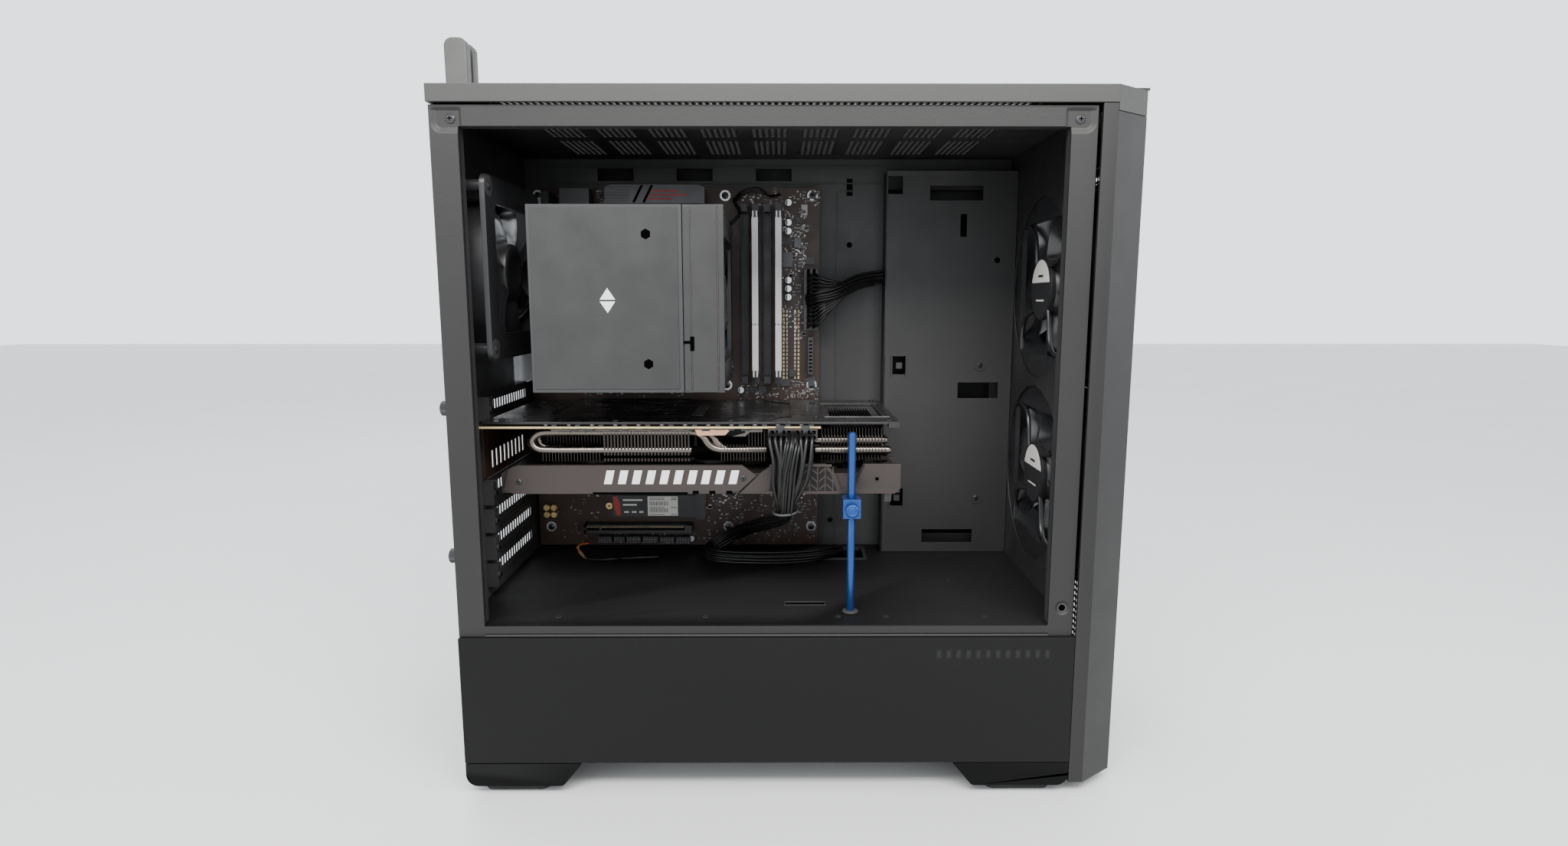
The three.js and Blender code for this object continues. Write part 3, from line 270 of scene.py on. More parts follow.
def smooth_path(points, per_span=6):
    """Points on a Catmull-Rom curve through given points."""
    pts = [Vector(p) for p in points]
    ends = [pts[0] * 2 - pts[1]] + pts + [pts[-1] * 2 - pts[-2]]
    out = []
    for i in range(1, len(ends) - 2):
        a, b, c, d = ends[i - 1:i + 3]
        for k in range(per_span):
            t = k / per_span
            out.append(0.5 * (2 * b + (c - a) * t + (2 * a - 5 * b + 4 * c - d) * t * t
                              + (3 * b - 3 * c + d - a) * t ** 3))
    out.append(pts[-1])
    return out


def perforated(form, axis, u0, u1, v0, v1, start, end, pitch, hole):
    """A sheet across an axis whose square cells each hold one eight-sided hole through it."""
    columns, rows = max(1, round((u1 - u0) / pitch)), max(1, round((v1 - v0) / pitch))
    du, dv = (u1 - u0) / columns, (v1 - v0) / rows
    rim = [(-0.5, -0.5), (0, -0.5), (0.5, -0.5), (0.5, 0), (0.5, 0.5), (0, 0.5), (-0.5, 0.5), (-0.5, 0)]
    for row in range(rows):
        for column in range(columns):
            cu, cv = u0 + (column + 0.5) * du, v0 + (row + 0.5) * dv
            outer = [(cu + a * du, cv + b * dv) for a, b in rim]
            inner = [polar((cu, cv), hole, math.radians(225 + 45 * i)) for i in range(8)]
            form.collar(axis, outer, inner, start, end, walled=False)


def rounded_rect_distance(u, v, u0, u1, v0, v1, radius):
    """How far a point is outside a rounded rectangle; negative inside."""
    du = abs(u - (u0 + u1) / 2) - (u1 - u0) / 2 + radius
    dv = abs(v - (v0 + v1) / 2) - (v1 - v0) / 2 + radius
    return math.hypot(max(du, 0), max(dv, 0)) + min(max(du, dv), 0) - radius


def ramp(x, low, high):
    t = min(max((x - low) / (high - low), 0), 1)
    return t * t * (3 - 2 * t)


# ---------------------------------------------------------------- materials

def node_of(tree, kind, inputs=None, **settings):
    """A shader node with its settings, and then the values of its inputs."""
    node = tree.nodes.new("ShaderNode" + kind)
    for key, value in settings.items():
        setattr(node, key, value)
    for key, value in (inputs or {}).items():
        node.inputs[key].default_value = value
    return node


MIX_LOW, MIX_HIGH, MIXED = 6, 7, 2      # the colour sockets of a mix node


def surface(name, color, rough, metal=0.0, tint=0.12, tint_scale=14.0, rough_spread=0.08, grain=0.0,
            grain_scale=1400.0, wear_and_highlight=0.0, wear_and_highlight_color=None, coat=0.0, specular=0.5, brushed=None):
    """A procedural finish: drifting colour and roughness, fine grain, optional lighter convex edges (partly
    edge wear, partly a painted highlight) and brushing.
    """
    material = bpy.data.materials.new(name)
    material.use_nodes = True
    tree = material.node_tree
    tree.nodes.clear()
    link = tree.links.new
    coords = node_of(tree, "TexCoord").outputs["Object"]

    def noise(scale, detail, vector=coords):
        node = node_of(tree, "TexNoise", {"Scale": scale, "Detail": detail})
        link(vector, node.inputs["Vector"])
        return node.outputs["Fac"]

    shader = node_of(tree, "BsdfPrincipled", {"Metallic": metal, "Specular IOR Level": specular,
                                              "Coat Weight": coat, "Coat Roughness": 0.12})
    mix = node_of(tree, "Mix", {MIX_LOW: [c * (1 - tint) for c in color] + [1],
                                MIX_HIGH: [min(1, c * (1 + tint)) for c in color] + [1]}, data_type="RGBA")
    link(noise(tint_scale, 5), mix.inputs[0])
    base = mix.outputs[MIXED]
    # Convex edges turn lighter by pointiness: partly edge wear, partly a painted highlight where edges would
    # catch the light.
    if wear_and_highlight:
        edge = node_of(tree, "MapRange", {"From Min": 0.53, "From Max": 0.62, "To Max": wear_and_highlight})
        worn_and_lit_color = list(wear_and_highlight_color or [min(1, c * 2.2 + 0.02) for c in color]) + [1]
        worn_and_lit = node_of(tree, "Mix", {MIX_HIGH: worn_and_lit_color}, data_type="RGBA")
        link(node_of(tree, "NewGeometry").outputs["Pointiness"], edge.inputs["Value"])
        link(edge.outputs["Result"], worn_and_lit.inputs[0])
        link(base, worn_and_lit.inputs[MIX_LOW])
        base = worn_and_lit.outputs[MIXED]
    link(base, shader.inputs["Base Color"])
    smudge = node_of(tree, "MapRange", {"From Min": 0.3, "From Max": 0.7,
                                        "To Min": max(0.03, rough - rough_spread),
                                        "To Max": min(1, rough + rough_spread)})
    link(noise(tint_scale * 3.1, 4), smudge.inputs["Value"])
    link(smudge.outputs["Result"], shader.inputs["Roughness"])
    if grain or brushed:
        vector = coords
        if brushed:
            stretch = node_of(tree, "Mapping", {"Scale": brushed})
            link(coords, stretch.inputs["Vector"])
            vector = stretch.outputs["Vector"]
        bump = node_of(tree, "Bump", {"Strength": grain or 0.1, "Distance": 0.0002})
        link(noise(grain_scale, 2, vector), bump.inputs["Height"])
        link(bump.outputs["Normal"], shader.inputs["Normal"])
    link(shader.outputs["BSDF"], node_of(tree, "OutputMaterial").inputs["Surface"])
    return material


COAT = {"grain": 0.3, "grain_scale": 1900, "wear_and_highlight": 0.3}
MOULDED = {"rough_spread": 0.03, "grain": 0.28, "grain_scale": 2400, "wear_and_highlight": 0.25}
STEEL = surface("powder_coat", (0.0095, 0.009, 0.0087), 0.5, 0.05, rough_spread=0.03, grain=0.35,
                grain_scale=1900, wear_and_highlight=0.35, specular=0.36)
STEEL_DARK = surface("inner_powder_coat", (0.0125, 0.012, 0.0122), 0.55, 0.1, rough_spread=0.04, **COAT)
# A much darker, duller copy of the powder coat for the lower cover: painted shade, as the light falls off
# towards the bottom of the case.
STEEL_LOWER_SHADED = surface("lower_cover_painted_shade", (0.0028, 0.0027, 0.0027), 0.55, 0.05, rough_spread=0.02, grain=0.35,
                      grain_scale=1900, wear_and_highlight=0.3, specular=0.12)
STEEL_SHELF = surface("shelf_powder_coat", (0.0028, 0.0027, 0.0027), 0.55, 0.05, rough_spread=0.03,
                      specular=0.2, **COAT)
# A darker copy of the cover plastic for the front panel: painted shade, as the light from above reaches its
# face less than the top cover's.
FRONT_SHADED = surface("front_plastic_painted_shade", (0.0045, 0.0041, 0.0038), 0.5, specular=0.35, **MOULDED)
COVER = surface("cover_plastic", (0.018, 0.0172, 0.0165), 0.5, specular=0.42, **MOULDED)
GLOSS = surface("gloss_strip", (0.006, 0.006, 0.007), 0.12, rough_spread=0.05, coat=0.5)
RUBBER = surface("rubber", (0.012, 0.012, 0.012), 0.8, grain=0.5, grain_scale=900)
FOOT = surface("foot_plastic", (0.0018, 0.0018, 0.0018), 0.6, specular=0.08, grain=0.3, grain_scale=2000,
               wear_and_highlight=0.25)
FAN = surface("fan_plastic", (0.012, 0.012, 0.013), 0.38, rough_spread=0.1, grain=0.1, grain_scale=1500)
FAN_BLADE = surface("fan_blade", (0.016, 0.016, 0.018), 0.25, rough_spread=0.08, coat=0.2)
SCREW = surface("black_screw", (0.035, 0.035, 0.038), 0.35, 0.7, wear_and_highlight=0.5)
NICKEL = surface("nickel", (0.13, 0.112, 0.098), 0.26, 1.0, tint=0.1, tint_scale=60)
COPPER = surface("copper", (0.65, 0.38, 0.24), 0.28, 1.0, tint=0.15, tint_scale=80)
GOLD = surface("gold", (0.75, 0.55, 0.24), 0.3, 1.0)
TIN = surface("tin", (0.3, 0.29, 0.28), 0.35, 1.0, tint=0.2, tint_scale=60)
PORT = surface("port_shell", (0.55, 0.55, 0.56), 0.32, 0.95, brushed=(40, 1, 1), grain=0.15, grain_scale=300)
PORT_BLACK = surface("port_plastic", (0.014, 0.014, 0.015), 0.45)
PORT_BLUE = surface("port_blue", (0.03, 0.09, 0.4), 0.45)
BOARD = surface("board_mask", (0.026, 0.0125, 0.0085), 0.45, tint=0.3, tint_scale=35, specular=0.35)
BOARD_EDGE = surface("board_edge", (0.42, 0.34, 0.16), 0.6, tint=0.2, tint_scale=200)
CHIP = surface("chip_epoxy", (0.016, 0.016, 0.017), 0.5, grain=0.3, grain_scale=2500)
PRINT = surface("white_print", (0.22, 0.22, 0.21), 0.6)
LABEL = surface("paper_label", (0.62, 0.6, 0.56), 0.55, tint=0.06)
LABEL_INK = surface("label_ink", (0.03, 0.03, 0.03), 0.55)
LABEL_RED = surface("label_red", (0.35, 0.02, 0.02), 0.5)
MODULE = surface("module_spreader", (0.42, 0.39, 0.405), 0.42, 0.3, brushed=(1, 1, 60), grain=0.1,
                 grain_scale=500)
MODULE_DARK = surface("module_card", (0.015, 0.017, 0.02), 0.5)
FIN = surface("fin_aluminium", (0.05, 0.043, 0.039), 0.33, 1.0, tint=0.2, tint_scale=50)
FIN_DARK = surface("fin_black", (0.02, 0.02, 0.022), 0.4, 0.4, wear_and_highlight=0.3)
COOLER = surface("cooler_plate", (0.0105, 0.0102, 0.01), 0.4, 0.15, grain=0.25, grain_scale=2400, wear_and_highlight=0.3)
COOLER_EDGE = surface("cooler_border", (0.013, 0.013, 0.014), 0.5)
MARK = surface("white_mark", (0.55, 0.55, 0.54), 0.5, tint=0.04)
BACKPLATE = surface("backplate", (0.022, 0.021, 0.021), 0.3, 0.6, rough_spread=0.1, wear_and_highlight=0.3)
BRONZE = surface("card_bronze", (0.028, 0.0215, 0.0198), 0.42, 0.5, grain=0.15, grain_scale=2200, wear_and_highlight=0.3)
# Near-black for the card shroud's vent cut-outs and recesses: painted shade in the openings.
BRONZE_RECESS_SHADE = surface("card_recess_shade", (0.006, 0.0052, 0.0052), 0.6, specular=0.2)
BLUE = surface("blue_anodised", (0.016, 0.052, 0.19), 0.3, 0.75, tint=0.1, tint_scale=60, wear_and_highlight=0.2,
               wear_and_highlight_color=(0.1, 0.2, 0.6))
ANTENNA = surface("antenna_grey", (0.034, 0.033, 0.031), 0.5, grain=0.25, grain_scale=2400, wear_and_highlight=0.15)
LEAD = surface("lead_sleeve", (0.0032, 0.003, 0.0028), 0.38, specular=0.3, rough_spread=0.12, tint=0.3,
               tint_scale=60)
HEATSINK = surface("heatsink_anodised", (0.06, 0.06, 0.063), 0.4, 0.7, brushed=(1, 50, 50), grain=0.1,
                   grain_scale=400, wear_and_highlight=0.3)
HEATSINK_LIGHT = surface("heatsink_stripe", (0.2, 0.2, 0.21), 0.35, 0.8)
WIRE_YELLOW = surface("wire_yellow", (0.25, 0.17, 0.03), 0.45)
WIRE_ORANGE = surface("wire_orange", (0.4, 0.09, 0.02), 0.45)
WIRE_TEAL = surface("wire_teal", (0.02, 0.16, 0.15), 0.45)
BRASS = surface("brass", (0.6, 0.45, 0.2), 0.35, 1.0)
# Near-black filler for holes, recesses, grooves and gaps: painted shade standing for the dark inside them.
HOLE_SHADE = surface("painted_hole_shade", (0.001, 0.001, 0.001), 0.9, specular=0.0)


# ---------------------------------------------------------------- camera, stage and light

def camera_and_stage():
    """The near side seen from a little above its middle, at the distance of an arm."""
    data = bpy.data.cameras.new("camera")
    data.sensor_width = 36
    data.lens = 19.05
    data.clip_start = 0.01
    eye = bpy.data.objects.new("camera", data)
    bpy.context.scene.collection.objects.link(eye)
    from_rear, from_near, height = 214.7, -529.3, 333.3
    eye.location = (ORIGIN + Vector((from_rear, from_near, height))) * MM
    eye.rotation_euler = (math.radians(90 - 8.32), 0, math.radians(-0.23))
    bpy.context.scene.camera = eye
    floor_mesh = bpy.data.meshes.new("floor")
    floor_mesh.from_pydata([(-6, -6, 0), (6, -6, 0), (6, 6, 0), (-6, 6, 0)], [], [(0, 1, 2, 3)])
    floor_mesh.materials.append(surface("pale_floor", (0.55, 0.55, 0.55), 0.6, tint=0.02, tint_scale=1.5))
    floor = bpy.data.objects.new("floor", floor_mesh)
    bpy.context.scene.collection.objects.link(floor)


def area_light(name, place_at, aim, size, power, color=(1, 1, 1)):
    data = bpy.data.lights.new(name, "AREA")
    data.shape = "RECTANGLE"
    data.size, data.size_y = size
    data.energy = power
    data.color = color
    light = bpy.data.objects.new(name, data)
    light.location = place_at
    light.rotation_euler = (Vector(aim) - Vector(place_at)).to_track_quat("-Z", "Y").to_euler()
    bpy.context.scene.collection.objects.link(light)


def lights():
    world = bpy.data.worlds.new("studio")
    world.use_nodes = True
    world.node_tree.nodes["Background"].inputs["Color"].default_value = (0.86, 0.9, 0.93, 1)
    world.node_tree.nodes["Background"].inputs["Strength"].default_value = 2.5
    bpy.context.scene.world = world
    middle = (0, 0, 0.25)
    area_light("key", (0.05, -0.78, 0.98), (0, 0, 0.46), (1.3, 0.3), 30, (1.0, 0.985, 0.96))
    area_light("fill", (-1.5, -1.2, 0.8), middle, (1.0, 1.2), 8, (0.95, 0.97, 1.0))
    area_light("rim", (-0.9, 1.4, 1.5), middle, (1.2, 0.8), 12)
    area_light("front", (1.6, -0.5, 0.9), middle, (0.9, 1.2), 8)


camera_and_stage()
lights()


# ---------------------------------------------------------------- plain pieces: CAD nodes with softened edges

CASE_LENGTH = span("front_frame")[1].x
CASE_TOP = span("top_panel")[1].z
LIP_BOTTOM, LIP_TOP = span("shroud_top")[0].z, span("shroud_top")[1].z
REAR_RAIL, FRONT_RAIL, TOP_RAIL = 17.4, 16.1, 12.6
WINDOW_X = (REAR_RAIL, CASE_LENGTH - FRONT_RAIL)
WINDOW_TOP = CASE_TOP - TOP_RAIL

PLAIN = {
    "rear_panel": (STEEL_DARK, 0.25), "top_panel": (STEEL_DARK, 0.25), "front_frame": (STEEL_DARK, 0.25),
    "motherboard_tray": (STEEL_DARK, 0.25), "bottom_pan": (STEEL_DARK, 0.25),
    # shroud_side_cover takes the darkened copy of the powder coat: painted shade.
    "shroud_top": (STEEL_SHELF, 0.25), "shroud_side_cover": (STEEL_LOWER_SHADED, 0.3),
    # front_panel takes the darkened copy of the cover plastic: painted shade.
    "cable_cover_plate": (STEEL_DARK, 0.3), "top_cover": (COVER, 0.9), "front_panel": (FRONT_SHADED, 0.7),
    "io_panel": (GLOSS, 0.35), "side_panel": (STEEL, 0.3), "slot_cover": (STEEL, 0.3),
    "psu": (STEEL_DARK, 0.4), "gpu_backplate": (BACKPLATE, 0.3), "gpu_board": (BOARD, 0.15),
    "gpu_shroud": (BRONZE, 0.5), "power_button": (COVER, 0.3), "reset_button": (COVER, 0.2),
    "psu_switch": (GLOSS, 0.3), "brace_clamp": (BLUE, 2.2),
}
# Known fault: side_panel is missing here, so the far panel stays on the tower when its own body slides.
MOVING = ("power_button", "reset_button", "psu_switch", "brace_clamp")
for node, (material, bevel) in PLAIN.items():
    softened(node, material, body=node if node in MOVING else TOWER, bevel=bevel)


# ---------------------------------------------------------------- near frame

POCKET = {"depth": 1.15, "z": (CASE_TOP - 14.4, CASE_TOP - 2.2), "reach": (3.4, 19.5),
          "screw": (12.9, CASE_TOP - 8)}
SKIN = 1.3


def screw_head(form, axis, u, v, face, radius, outward=-1, mat=0, recess_shade=1, slots=4):
    """A domed screw on a face, with its cross recess, or a six-sided one, drawn as a flat dark patch of painted
    shade.
    """
    rim = face + outward * radius * 0.42
    form.lathe(axis, (u, v), [(face, 0), (face, radius), (face + outward * radius * 0.2, radius),
                              (rim, radius * 0.72), (rim + outward * 0.04 * radius, 0)], 24, mat)
    recess = cross(u, v, radius * 0.5, radius * 0.11) if slots == 4 else hexagon(u, v, radius * 0.34)
    form.prism(axis, recess, rim, rim + outward * 0.06 * radius, recess_shade)


def near_frame():
    """One pressed face over the four near rails, with a sunk pocket and steps at each upper corner."""
    def fine(start, end, step):
        count = max(1, round((end - start) / step))
        return [start + (end - start) * i / count for i in range(count)]
    x_lines = (fine(0, 24, 0.6) + fine(24, CASE_LENGTH - 24, 90) + fine(CASE_LENGTH - 24, CASE_LENGTH, 0.6)
               + [CASE_LENGTH])
    z_lines = (fine(LIP_BOTTOM, LIP_TOP + 0.6, 0.5) + [LIP_TOP + 0.6] + fine(125, 138, 0.6)
               + fine(138, CASE_TOP - 18, 60) + fine(CASE_TOP - 18, CASE_TOP, 0.6) + [CASE_TOP])
    dimple_x, dimple_z = CASE_LENGTH - 7.2, 131.4

    def face(z, x):
        sunk = 0.0
        for mirrored in (False, True):
            across = CASE_LENGTH - x if mirrored else x
            inner = rounded_rect_distance(across, z, POCKET["reach"][0], 60, POCKET["z"][0], CASE_TOP + 30, 4)
            outer = inner - 1.7
            if across < POCKET["reach"][1] + 2:
                close = 1 - ramp(across, POCKET["reach"][1] - 1.2, POCKET["reach"][1] + 0.6)
                top = 1 - ramp(z, POCKET["z"][1] - 0.8, POCKET["z"][1] + 0.6)
                sunk = max(sunk, POCKET["depth"] * (1 - ramp(inner, -0.7, 0.5)) * close * top)
                sunk = max(sunk, 0.5 * POCKET["depth"] * (1 - ramp(outer, -0.5, 0.4)) * close * top)
        away = math.hypot(x - dimple_x, z - dimple_z)
        sunk = max(sunk, 1.1 * (1 - ramp(away, 3.4, 5.2)))
        if LIP_BOTTOM + 0.7 < z < LIP_BOTTOM + 1.6 and WINDOW_X[0] < x < WINDOW_X[1]:
            sunk = max(sunk, 0.6)
        return -SKIN + sunk

    def kept(z, x):
        return not (WINDOW_X[0] < x < WINDOW_X[1] and LIP_TOP < z < WINDOW_TOP)

    form = Form()
    masked_sheet(form, z_lines, x_lines, face, kept, -0.02)
    form.make("near_frame_face", STEEL, bevel=0.25, angle=50)

    screws = Form()
    for x in (POCKET["screw"][0], CASE_LENGTH - POCKET["screw"][0] + 2.3):
        screw_head(screws, "y", POCKET["screw"][1], x, -SKIN + POCKET["depth"], 2.9)
    # The disc inside the dimple's ring is a flat patch of painted shade.
    screws.rod("y", dimple_z, dimple_x, 2.3, -0.26, -0.1, 20, 1)
    screws.ring("y", dimple_z, dimple_x, 2.3, 3.0, -0.55, -0.1, 24, 0)
    screws.make("near_frame_screws", [SCREW, HOLE_SHADE])


def masked_sheet(form, u_lines, v_lines, face, kept, back):
    """A stamped sheet about y, on a grid of lines. kept() refuses cells, and every rim is closed."""
    index = {}
    cells = []
    for i in range(len(u_lines) - 1):
        for j in range(len(v_lines) - 1):
            if kept((u_lines[i] + u_lines[i + 1]) / 2, (v_lines[j] + v_lines[j + 1]) / 2):
                cells.append((i, j))
    verts = []

    def vertex(i, j):
        if (i, j) not in index:
            index[i, j] = len(verts)
            verts.append(spot("y", u_lines[i], v_lines[j], face(u_lines[i], v_lines[j])))
        return index[i, j]

    faces = []
    edges = {}
    for i, j in cells:
        ring = [vertex(i, j), vertex(i + 1, j), vertex(i + 1, j + 1), vertex(i, j + 1)]
        faces.append(ring)
        for a, b in zip(ring, ring[1:] + ring[:1]):
            if (b, a) in edges:
                del edges[b, a]
            else:
                edges[a, b] = True
    below = {}
    for a, b in edges:
        for k in (a, b):
            if k not in below:
                below[k] = len(verts)
                verts.append(Vector((verts[k].x, back, verts[k].z)))
        faces.append((b, a, below[a], below[b]))
    form.add(verts, faces)


near_frame()


# ---------------------------------------------------------------- perforated steel and mesh

def ceiling_perforations():
    form = Form()
    low = CASE_TOP - 1
    for x in series(9, 50, 36):
        for y in (40, 110):
            perforated(form, "z", x, x + 26, y, y + 56, low + 0.1, CASE_TOP - 0.1, 4.4, 1.65)
    form.make("ceiling_perforations", STEEL_DARK)


def bordered_mesh(name, node, axis, insets, hole, pitch=4.6, border=5):
    """A perforated sheet in a plain border, across z or x. Its borders along the y ends run full length."""
    low, high = span(node)
    iu, iv, ia = AXES[axis]
    form = Form()
    perforated(form, axis, low[iu] + border, high[iu] - border, low[iv] + border, high[iv] - border,
               low[ia] + insets[0], high[ia] - insets[1], pitch, hole)
    for end, trim in ((1, 0), (iu + iv - 1, border)):
        for at_top in (False, True):
            a, b = low.copy(), high.copy()
            a.y, b.y = a.y + trim, b.y - trim
            if at_top:
                a[end] = b[end] - border
            else:
                b[end] = a[end] + border
            form.box(a.x, b.x, a.y, b.y, a.z, b.z, 1)
    form.make(name, [STEEL_DARK, COVER], stands_for=(node,), bevel=0.2, angle=60)


def slot_bars():
    """The bars across the empty expansion slots, their raised rims and their screw-down tabs."""
    form = Form()
    for index, z in enumerate(series(7, 258, -20.32)):
        if index in (1, 2):
            continue
        for y in series(17, 68.2, 5.75):
            form.box(0.1, 0.9, y - 1.0, y + 1.0, z - 3.6, z + 3.6)
        for z0 in (z - 8.9, z + 8.3):
            form.box(-0.5, 1.6, 62, 166, z0, z0 + 0.6)
        form.box(1, 9, 52.5, 60, z - 8.6, z + 8.6)
        screw_head(form, "x", 56, z, 9, 3.2, 1, 1, 2)
    form.make("slot_covers", [STEEL_DARK, SCREW, HOLE_SHADE], bevel=0.15)


def tray_pressings():
    """Pressed ridges, tie loops and rims on the tray and on the cable cover plate."""
    form = Form()
    tray, plate, hook = 186.1, 164.5, 1.6
    for x0, x1, z0, z1, height in ((261.6, 262.8, 126, 424, 0.7), (263, 275, 424.4, 425.4, 0.7),
                                   (252, 253, 128, 240, 0.7), (20, 300, 443.6, 445.2, 1.1),
                                   (20, 300, 430.6, 431.6, 0.8)):
        form.box(x0, x1, tray - height, tray, z0, z1)
    for z, x in ((280.5, 381.5), (166.9, 381.8)):
        form.ring("y", z, x, 2.2, 4.6, plate - 0.9, plate, 28)
        screw_head(form, "y", z, x, plate - 0.4, 2.4, -1, 1, 2)
    for z0, z1 in ((272, 289), (159, 176)):
        for x in (307, 319):
            form.box(x, x + 1, plate - hook, plate, z0, z1)
        form.box(311, 316, plate - 2.2, plate + 1, z0 + 6, z1 - 6)
    form.box(301, 302, plate, 185.5, 119.5, 438)
    form.make("tray_pressings", [STEEL_DARK, SCREW, HOLE_SHADE], bevel=0.2)


def shroud_details():
    """Small screws along the shroud's near edge, a rim round its tie slot and rubber round the lead hole."""
    form = Form()
    top = LIP_TOP
    for x in (62, 163, 254, 355, 287, 345):
        near = 16 if x < 300 or x == 355 else 90
        form.ring("z", x, near, 0.9, 2.0, top, top + 0.25, 16)
        # The dark disc in each ring is painted shade.
        form.rod("z", x, near, 0.9, top, top + 0.1, 12, 2)
    for y0, y1 in ((37.2, 38), (44, 44.8)):
        form.box(217.2, 246.8, y0, y1, top, top + 0.5)
    for x0, x1 in ((217.2, 218), (246, 246.8)):
        form.box(x0, x1, 38, 44, top, top + 0.5)
    form.collar("z", round_rect(238.6, 287.4, 142.6, 177.4, 5), round_rect(241.5, 284.5, 145.5, 174.5, 3.5),
                top - 1.6, top + 1.2, 3)
    form.make("shroud_details", [STEEL_DARK, SCREW, HOLE_SHADE, RUBBER], bevel=0.15)


ceiling_perforations()
bordered_mesh("dust_filter_mesh", "top_dust_filter", "z", (0.2, 0.25), 1.75)
bordered_mesh("front_grille", "front_mesh", "x", (0.3, 0.3), 1.8)
slot_bars()
tray_pressings()
shroud_details()


# ---------------------------------------------------------------- feet and thumbscrews

def feet():
    for node in ("foot_rear_near", "foot_rear_far", "foot_front_near", "foot_front_far"):
        low, high = span(node)
        rear = low.x < 100
        start, way = (low.x, 1) if rear else (high.x, -1)

        def at(along):
            return start + way * along
        side = [(0, 22.2), (0, 13)] + [(8 - u, 14 - v) for u, v in arc(0, 0, 8, 0, 90)]
        side += [(64.5, 6), (66.5, 6.9), (79, 22.2)]
        outline = [(z, at(along)) for along, z in side]
        if not rear:
            outline.reverse()
        form = Form()
        form.prism("y", outline, low.y, high.y, 0)
        pad = round_rect(min(at(10), at(54.5)), max(at(10), at(54.5)), low.y + 6, high.y - 6, 6)
        form.prism("z", pad, 0, 6.4, 1)
        form.make(node + "_finished", [FOOT, RUBBER], stands_for=(node,), bevel=0.7, angle=40, segments=3)


def thumbscrews():
    """Knurled heads with a cross recess, one piece for each screw."""
    for node, body in (("slot_cover_screw_1", TOWER), ("slot_cover_screw_2", TOWER),
                       ("side_panel_screw_1", "side_panel"), ("side_panel_screw_2", "side_panel")):
        low, high = span(node)
        y, z = (low.y + high.y) / 2, (low.z + high.z) / 2
        head_end = low.x + 6.5
        form = Form()
        form.prism("x", knurl((y, z), 4.6, 4.98, 36), low.x + 0.9, head_end - 1)
        form.rod("x", y, z, 4.3, low.x + 0.3, head_end, 28, edge=0.3)
        form.rod("x", y, z, 1.8, head_end - 1, high.x, 16)
        # The cross recess is a flat patch of painted shade.
        form.prism("x", cross(y, z, 2.6, 0.5), low.x + 0.22, low.x + 0.5, 1)
        form.make(node + "_finished", [SCREW, HOLE_SHADE], body=body, stands_for=(node,), bevel=0.12)


feet()
thumbscrews()


# ---------------------------------------------------------------- fans

def blade(form, axis, centre, hub, tip, start, end, turn, pitches, sweep, lean, thick=1.3):
    """One twisted, cambered fan blade between two planes across the axis. lean sets its hand."""
    rows, columns = 9, 9
    middle, room = (start + end) / 2, (end - start) / 2 - 0.5
    verts = []
    for side in (-1, 1):
        for i in range(rows):
            t = i / (rows - 1)
            radius = hub + t * (tip - hub)
            pitch = math.radians(pitches[0] + t * (pitches[1] - pitches[0]))
            chord = min(2 * room / math.sin(pitch), radius * 1.15)
            for j in range(columns):
                s = j / (columns - 1) - 0.5
                camber = chord * 0.09 * (1 - 4 * s * s)
                around = s * chord * math.cos(pitch) - camber * math.sin(pitch)
                along = s * chord * math.sin(pitch) + camber * math.cos(pitch)
                along = min(max(along + side * thick / 2 * (1 - 3.2 * s * s), -room), room)
                angle = turn + lean * (around / radius + math.radians(sweep) * t * t)
                verts.append(spot(axis, *polar(centre, radius, angle), middle + along))
    count = rows * columns
    faces = []
    for i in range(rows - 1):
        for j in range(columns - 1):
            a = i * columns + j
            quad = (a, a + 1, a + columns + 1, a + columns)
            faces += [quad, tuple(count + k for k in reversed(quad))]
    rim = ([*range(columns)] + [i * columns + columns - 1 for i in range(1, rows)]
           + [(rows - 1) * columns + j for j in range(columns - 2, -1, -1)]
           + [i * columns for i in range(rows - 2, 0, -1)])
    faces += [(a, b, count + b, count + a) for a, b in zip(rim, rim[1:] + rim[:1])]
    form.add(verts, faces, 1)


def rotor(node, axis, centre, start, end, hub, tip, blades, pitches, sweep=26, lean=1, ring=False):
    """A domed hub with its blades, on the rotor's own body."""
    form = Form()
    round_edge = 1.8
    form.lathe(axis, centre, [(start, 0), (start, hub - 0.6), (start + 0.6, hub), (end - round_edge, hub),
                              (end - 0.5, hub - 0.6), (end, hub - round_edge), (end, hub * 0.62),
                              (end - 0.35, hub * 0.6), (end - 0.35, 0)], 48)
    for i in range(blades):
        blade(form, axis, centre, hub - 0.6, tip, start, end, 2 * math.pi * i / blades, pitches, sweep, lean)
    if ring:
        form.ring(axis, *centre, tip - 0.7, tip + 0.5, start + 2.5, end - 2.5, 64, 1)
    form.make(node + "_finished", [FAN, FAN_BLADE], body=node, stands_for=(node,), angle=45)


